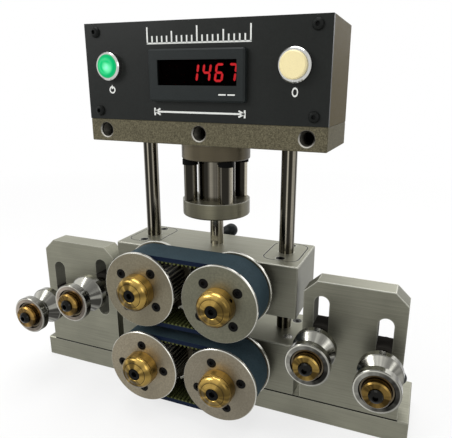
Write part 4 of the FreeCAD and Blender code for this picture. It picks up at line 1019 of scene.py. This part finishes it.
class COUNTER_OT_display(bpy.types.Operator):
    """Seven-segment digits behind the window of the counter"""
    bl_idname = "counter.display"
    bl_label = "Display"
    number: StringProperty(name="Number", description="Digits that the display shows", default="1467")

    def execute(self, context):
        s = sizes()
        w, h, t = s.digit_width, s.digit_height, s.segment_width
        thick, gap, margin = 0.25 * MM, 0.25 * MM, 1.0 * MM
        flat, tall = w - t - gap, h / 2 - t / 2 - gap
        side, rise, end = (w - t) / 2, h / 4 - t / 8, (h - t) / 2
        places = {"a": (0, end, False), "g": (0, 0, False), "d": (0, -end, False),
                  "f": (-side, rise, True), "b": (side, rise, True),
                  "e": (-side, -rise, True), "c": (side, -rise, True)}
        low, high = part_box("counter_window")
        lit = lit_segment("lit_segment")
        for index, digit in enumerate(reversed(self.number)):
            bars = []
            for key in SEGMENTS[digit]:
                x, y, upright = places[key]
                bars.append(bar("segment", tall if upright else flat, t, thick, t / 2))
                settle(bars[-1], (x + y * math.tan(s.digit_slant), y, 0), False,
                       math.pi / 2 - s.digit_slant if upright else 0.0)
            whole = joined("digit_%d" % (index + 1), bars)
            x = high.x - margin - w / 2 - index * s.digit_pitch
            settle(whole, (x, high.y + 0.02 * MM - thick / 2, (low.z + high.z) / 2), True)
            complete(whole, lit, "frame")
        return {"FINISHED"}


class COUNTER_OT_panel_marks(bpy.types.Operator):
    """Plain printed marks: a tick scale, a dimension line, a lamp mark and a zero"""
    bl_idname = "counter.panel_marks"
    bl_label = "Panel marks"

    def execute(self, context):
        s = sizes()
        depth, ink = s.mark_height, printed("white_ink")
        low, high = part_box("front_panel")
        bezel_low, bezel_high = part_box("counter_bezel")
        middle_x = middle("counter_bezel").x

        def stand(pieces, name, x, z, y=low.y):
            """Marks joined to one piece, upright on the panel or on a surface at y."""
            whole = joined(name, pieces) if len(pieces) > 1 else pieces[0]
            whole.name = whole.data.name = name
            settle(whole, (x, y - depth / 2, z), True)
            complete(whole, ink, "frame")

        def stroke(width, height, x=0.0, y=0.0, turn=0.0):
            piece = bar("stroke", width, height, depth)
            settle(piece, (x, y, 0), False, math.radians(turn))
            return piece

        count, bold = 20, 1.1 * MM
        ticks = [stroke(s.scale_length + bold, bold)]
        for i in range(count + 1):
            tall = s.scale_height * (1.0 if i % 10 == 0 else 0.72 if i % 5 == 0 else 0.45)
            ticks.append(stroke(bold, tall, i * s.scale_length / count - s.scale_length / 2, tall / 2))
        stand(ticks, "panel_scale", middle_x, (high.z + bezel_high.z) / 2 - s.scale_height / 2)

        line, thin = s.dimension_length, 1.3 * MM
        arrow = [stroke(line, thin)]
        for side in (-1, 1):
            arrow.append(stroke(thin, 5.4 * MM, side * line / 2))
            for lean in (-1, 1):
                arrow.append(stroke(4.6 * MM, 1.2 * MM, side * (line / 2 - 2.6 * MM), lean * 1.1 * MM,
                                    -side * lean * 27))
        stand(arrow, "panel_dimension_line", middle_x, (low.z + bezel_low.z) / 2 - 0.5 * MM)

        dash = 5.5 * MM
        dashes = [stroke(dash, 0.9 * MM, place * 0.62 * dash) for place in (-1, 1)]
        stand(dashes, "bezel_dashes", bezel_high.x - 13 * MM, bezel_low.z + 5.2 * MM, bezel_low.y)

        for name, node, zero in (("panel_lamp_mark", "lamp_lens", False),
                                 ("panel_button_mark", "reset_button", True)):
            ring = start("ring", "torus", major_radius=2.2 * MM, minor_radius=0.5 * MM,
                         major_segments=32, minor_segments=6)
            ring.scale = (0.8, 1.15, 0.1) if zero else (1.0, 1.0, 0.1)
            bpy.ops.object.transform_apply(scale=True)
            pieces = [ring] if zero else [ring, stroke(0.9 * MM, 2.8 * MM, 0, 2.0 * MM)]
            stand(pieces, name, middle(node).x, middle(node).z - s.mark_drop)
        return {"FINISHED"}


class COUNTER_OT_hole_threads(bpy.types.Operator):
    """Screw threads inside the three front holes of the head plate"""
    bl_idname = "counter.hole_threads"
    bl_label = "Hole threads"

    def execute(self, context):
        s = sizes()
        front, hole_z = front_of("head_plate"), middle("head_plate").z
        wall, crest, turns, start_depth = 5.12 * MM, 4.3 * MM, 8, 1.4 * MM
        pitch, size = s.thread_pitch, (wall - crest) / 1.5
        profile = start("thread", "circle", vertices=3, radius=size, fill_type="NOTHING",
                        location=(crest + size, 0, 0), rotation=(math.pi / 2, -math.pi / 2, 0))
        bpy.ops.object.transform_apply(location=True, rotation=True)
        profile.scale.z = 0.84 * pitch / (math.sqrt(3) * size)
        bpy.ops.object.transform_apply(scale=True)
        modify(profile, "SCREW", angle=math.tau, screw_offset=pitch, iterations=turns, steps=40,
               render_steps=40, axis="Z", use_merge_vertices=False, use_normal_calculate=True)
        only(profile)
        bpy.context.tool_settings.mesh_select_mode = (False, True, False)
        bpy.ops.object.mode_set(mode="EDIT")
        bpy.ops.mesh.select_all(action="SELECT")
        bpy.ops.mesh.remove_doubles(threshold=1e-6)
        bpy.ops.mesh.select_all(action="DESELECT")
        bpy.ops.mesh.select_non_manifold(extend=False, use_boundary=True, use_wire=False,
                                         use_multi_face=False, use_non_contiguous=False, use_verts=False)
        bpy.ops.mesh.edge_face_add()
        bpy.ops.mesh.select_all(action="SELECT")
        bpy.ops.mesh.normals_make_consistent(inside=False)
        leave()
        # Thread metal made dark: painted shade inside the holes.
        metal = turned("thread_metal", (0.03, 0.028, 0.022), (0, 0, hole_z), 0.4, 0.8)
        for name, place in (("left", -1), ("centre", 0), ("right", 1)):
            thread = copy_of(profile, "hole_thread_" + name)
            settle(thread, (place * s.hole_spacing, front + start_depth + (turns + 0.42) * pitch, hole_z), True)
            complete(thread, metal, "frame", 40)
        bpy.data.objects.remove(profile)
        return {"FINISHED"}


def seen_directly(tree):
    """1 for rays from the camera, off gloss or through glass: they see the plain white surroundings."""
    path = tree.nodes.new("ShaderNodeLightPath").outputs
    seen = path["Is Camera Ray"]
    for ray in ("Is Glossy Ray", "Is Transmission Ray"):
        either = tree.nodes.new("ShaderNodeMath")
        either.operation = "MAXIMUM"
        tree.links.new(seen, either.inputs[0])
        tree.links.new(path[ray], either.inputs[1])
        seen = either.outputs[0]
    return seen


class COUNTER_OT_stage(bpy.types.Operator):
    """Pale floor, soft lamps, world and camera"""
    bl_idname = "counter.stage"
    bl_label = "Stage"

    def execute(self, context):
        context.scene.view_settings.view_transform = "Standard"
        self.lay_floor()
        self.light_world(context.scene)
        self.hang_lamps(context.scene)
        self.place_camera(context.scene)
        return {"FINISHED"}

    def lay_floor(self):
        """Pale floor that fades to white away from the object, and keeps its shadow near it."""
        floor = start("floor", "circle", vertices=96, radius=6.0, fill_type="NGON", location=(0, 0, -0.2 * MM))
        bpy.ops.object.transform_apply(location=True)
        f = Finish("floor_paint", (0.80, 0.80, 0.79), 0.0, 0.6)
        fade = f.span(f.vector("LENGTH", f.place())["Value"], 0.25, 1.2, 0.74, 1.0)
        glow = f.node("Emission", Color=(1, 1, 1, 1), Strength=1.0).outputs[0]
        share = f.times(fade, seen_directly(f.tree))
        mixed = f.node("MixShader", Fac=share, _1=f.shader.outputs[0], _2=glow)
        f.tree.links.new(mixed.outputs[0], f.tree.nodes["Material Output"].inputs[0])
        floor.data.materials.append(f.material)

    def light_world(self, scene):
        """White surroundings that light the object at half strength."""
        world = bpy.data.worlds.new("studio")
        scene.world = world
        world.use_nodes = True
        nodes, links = world.node_tree.nodes, world.node_tree.links
        background = nodes["Background"]
        background.inputs["Color"].default_value = (1, 1, 1, 1)
        choose = nodes.new("ShaderNodeMix")
        choose.data_type = "FLOAT"
        choose.inputs[2].default_value = 0.50
        choose.inputs[3].default_value = 1.0
        links.new(seen_directly(world.node_tree), choose.inputs[0])
        links.new(choose.outputs[0], background.inputs["Strength"])

    def hang_lamps(self, scene):
        """Four soft square lamps aimed at the middle of the object."""
        aim = Vector((0, 0, 0.14))
        for name, place, size, watts in (
                ("key", (-0.75, -0.75, 0.75), 0.5, 6.5), ("fill", (1.1, -0.9, 0.6), 0.7, 2.5),
                ("top", (0.0, 0.1, 1.3), 0.9, 11.0), ("rear", (0.4, 1.3, 0.8), 0.9, 4.0)):
            lamp = bpy.data.lights.new(name, "AREA")
            lamp.size = size
            lamp.energy = watts
            holder = bpy.data.objects.new(name, lamp)
            scene.collection.objects.link(holder)
            holder.location = place
            holder.rotation_euler = (aim - Vector(place)).to_track_quat("-Z", "Y").to_euler()

    def place_camera(self, scene):
        """Camera in front, to the right and above, with the lens and the shift given in pixels of the image."""
        width, height, focal, centre_x, centre_y = 452.0, 438.0, 464.8, 249.0, 218.5
        place, pan, tilt, roll = (0.15742, -0.33413, 0.25103), 0.365, -0.273, 0.011
        camera = bpy.data.cameras.new("camera")
        camera.sensor_width = 36.0
        camera.lens = focal / width * camera.sensor_width
        camera.shift_x = (width / 2 - centre_x) / width
        camera.shift_y = (centre_y - height / 2) / width
        camera.clip_start = 0.01
        holder = bpy.data.objects.new("camera", camera)
        scene.collection.objects.link(holder)
        holder.matrix_world = (Matrix.Translation(place) @ Matrix.Rotation(pan, 4, "Z")
                               @ Matrix.Rotation(math.pi / 2 + tilt, 4, "X") @ Matrix.Rotation(roll, 4, "Z"))
        scene.camera = holder


STEPS = (COUNTER_OT_finishes, COUNTER_OT_flange_screws, COUNTER_OT_hubs, COUNTER_OT_hub_screws,
         COUNTER_OT_display, COUNTER_OT_panel_marks, COUNTER_OT_hole_threads, COUNTER_OT_stage)


class COUNTER_PT_sidebar(bpy.types.Panel):
    """Sidebar list of the counter's steps and its sizes and colours"""
    bl_label = "Cable length counter"
    bl_space_type = "VIEW_3D"
    bl_region_type = "UI"
    bl_category = "Counter"

    def draw(self, context):
        for step in STEPS:
            self.layout.operator(step.bl_idname)
        for group in (context.scene.counter_sizes, context.scene.counter_colours):
            column = self.layout.column()
            for key in group.__annotations__:
                column.prop(group, key)


CLASSES = (CounterSizes, CounterColours) + STEPS + (COUNTER_PT_sidebar,)


def register():
    for item in CLASSES:
        bpy.utils.register_class(item)
    bpy.types.Scene.counter_sizes = PointerProperty(type=CounterSizes)
    bpy.types.Scene.counter_colours = PointerProperty(type=CounterColours)


def unregister():
    del bpy.types.Scene.counter_colours
    del bpy.types.Scene.counter_sizes
    for item in reversed(CLASSES):
        bpy.utils.unregister_class(item)


def plain(bounds):
    return [[float(v) for v in corner] for corner in bounds]


def main():
    register()
    bpy.ops.counter.stage()
    bpy.ops.counter.finishes()
    bpy.ops.counter.flange_screws()
    bpy.ops.counter.hubs()
    bpy.ops.counter.hub_screws()
    bpy.ops.counter.display()
    bpy.ops.counter.panel_marks()
    bpy.ops.counter.hole_threads()


if __name__ == "__main__":
    main()
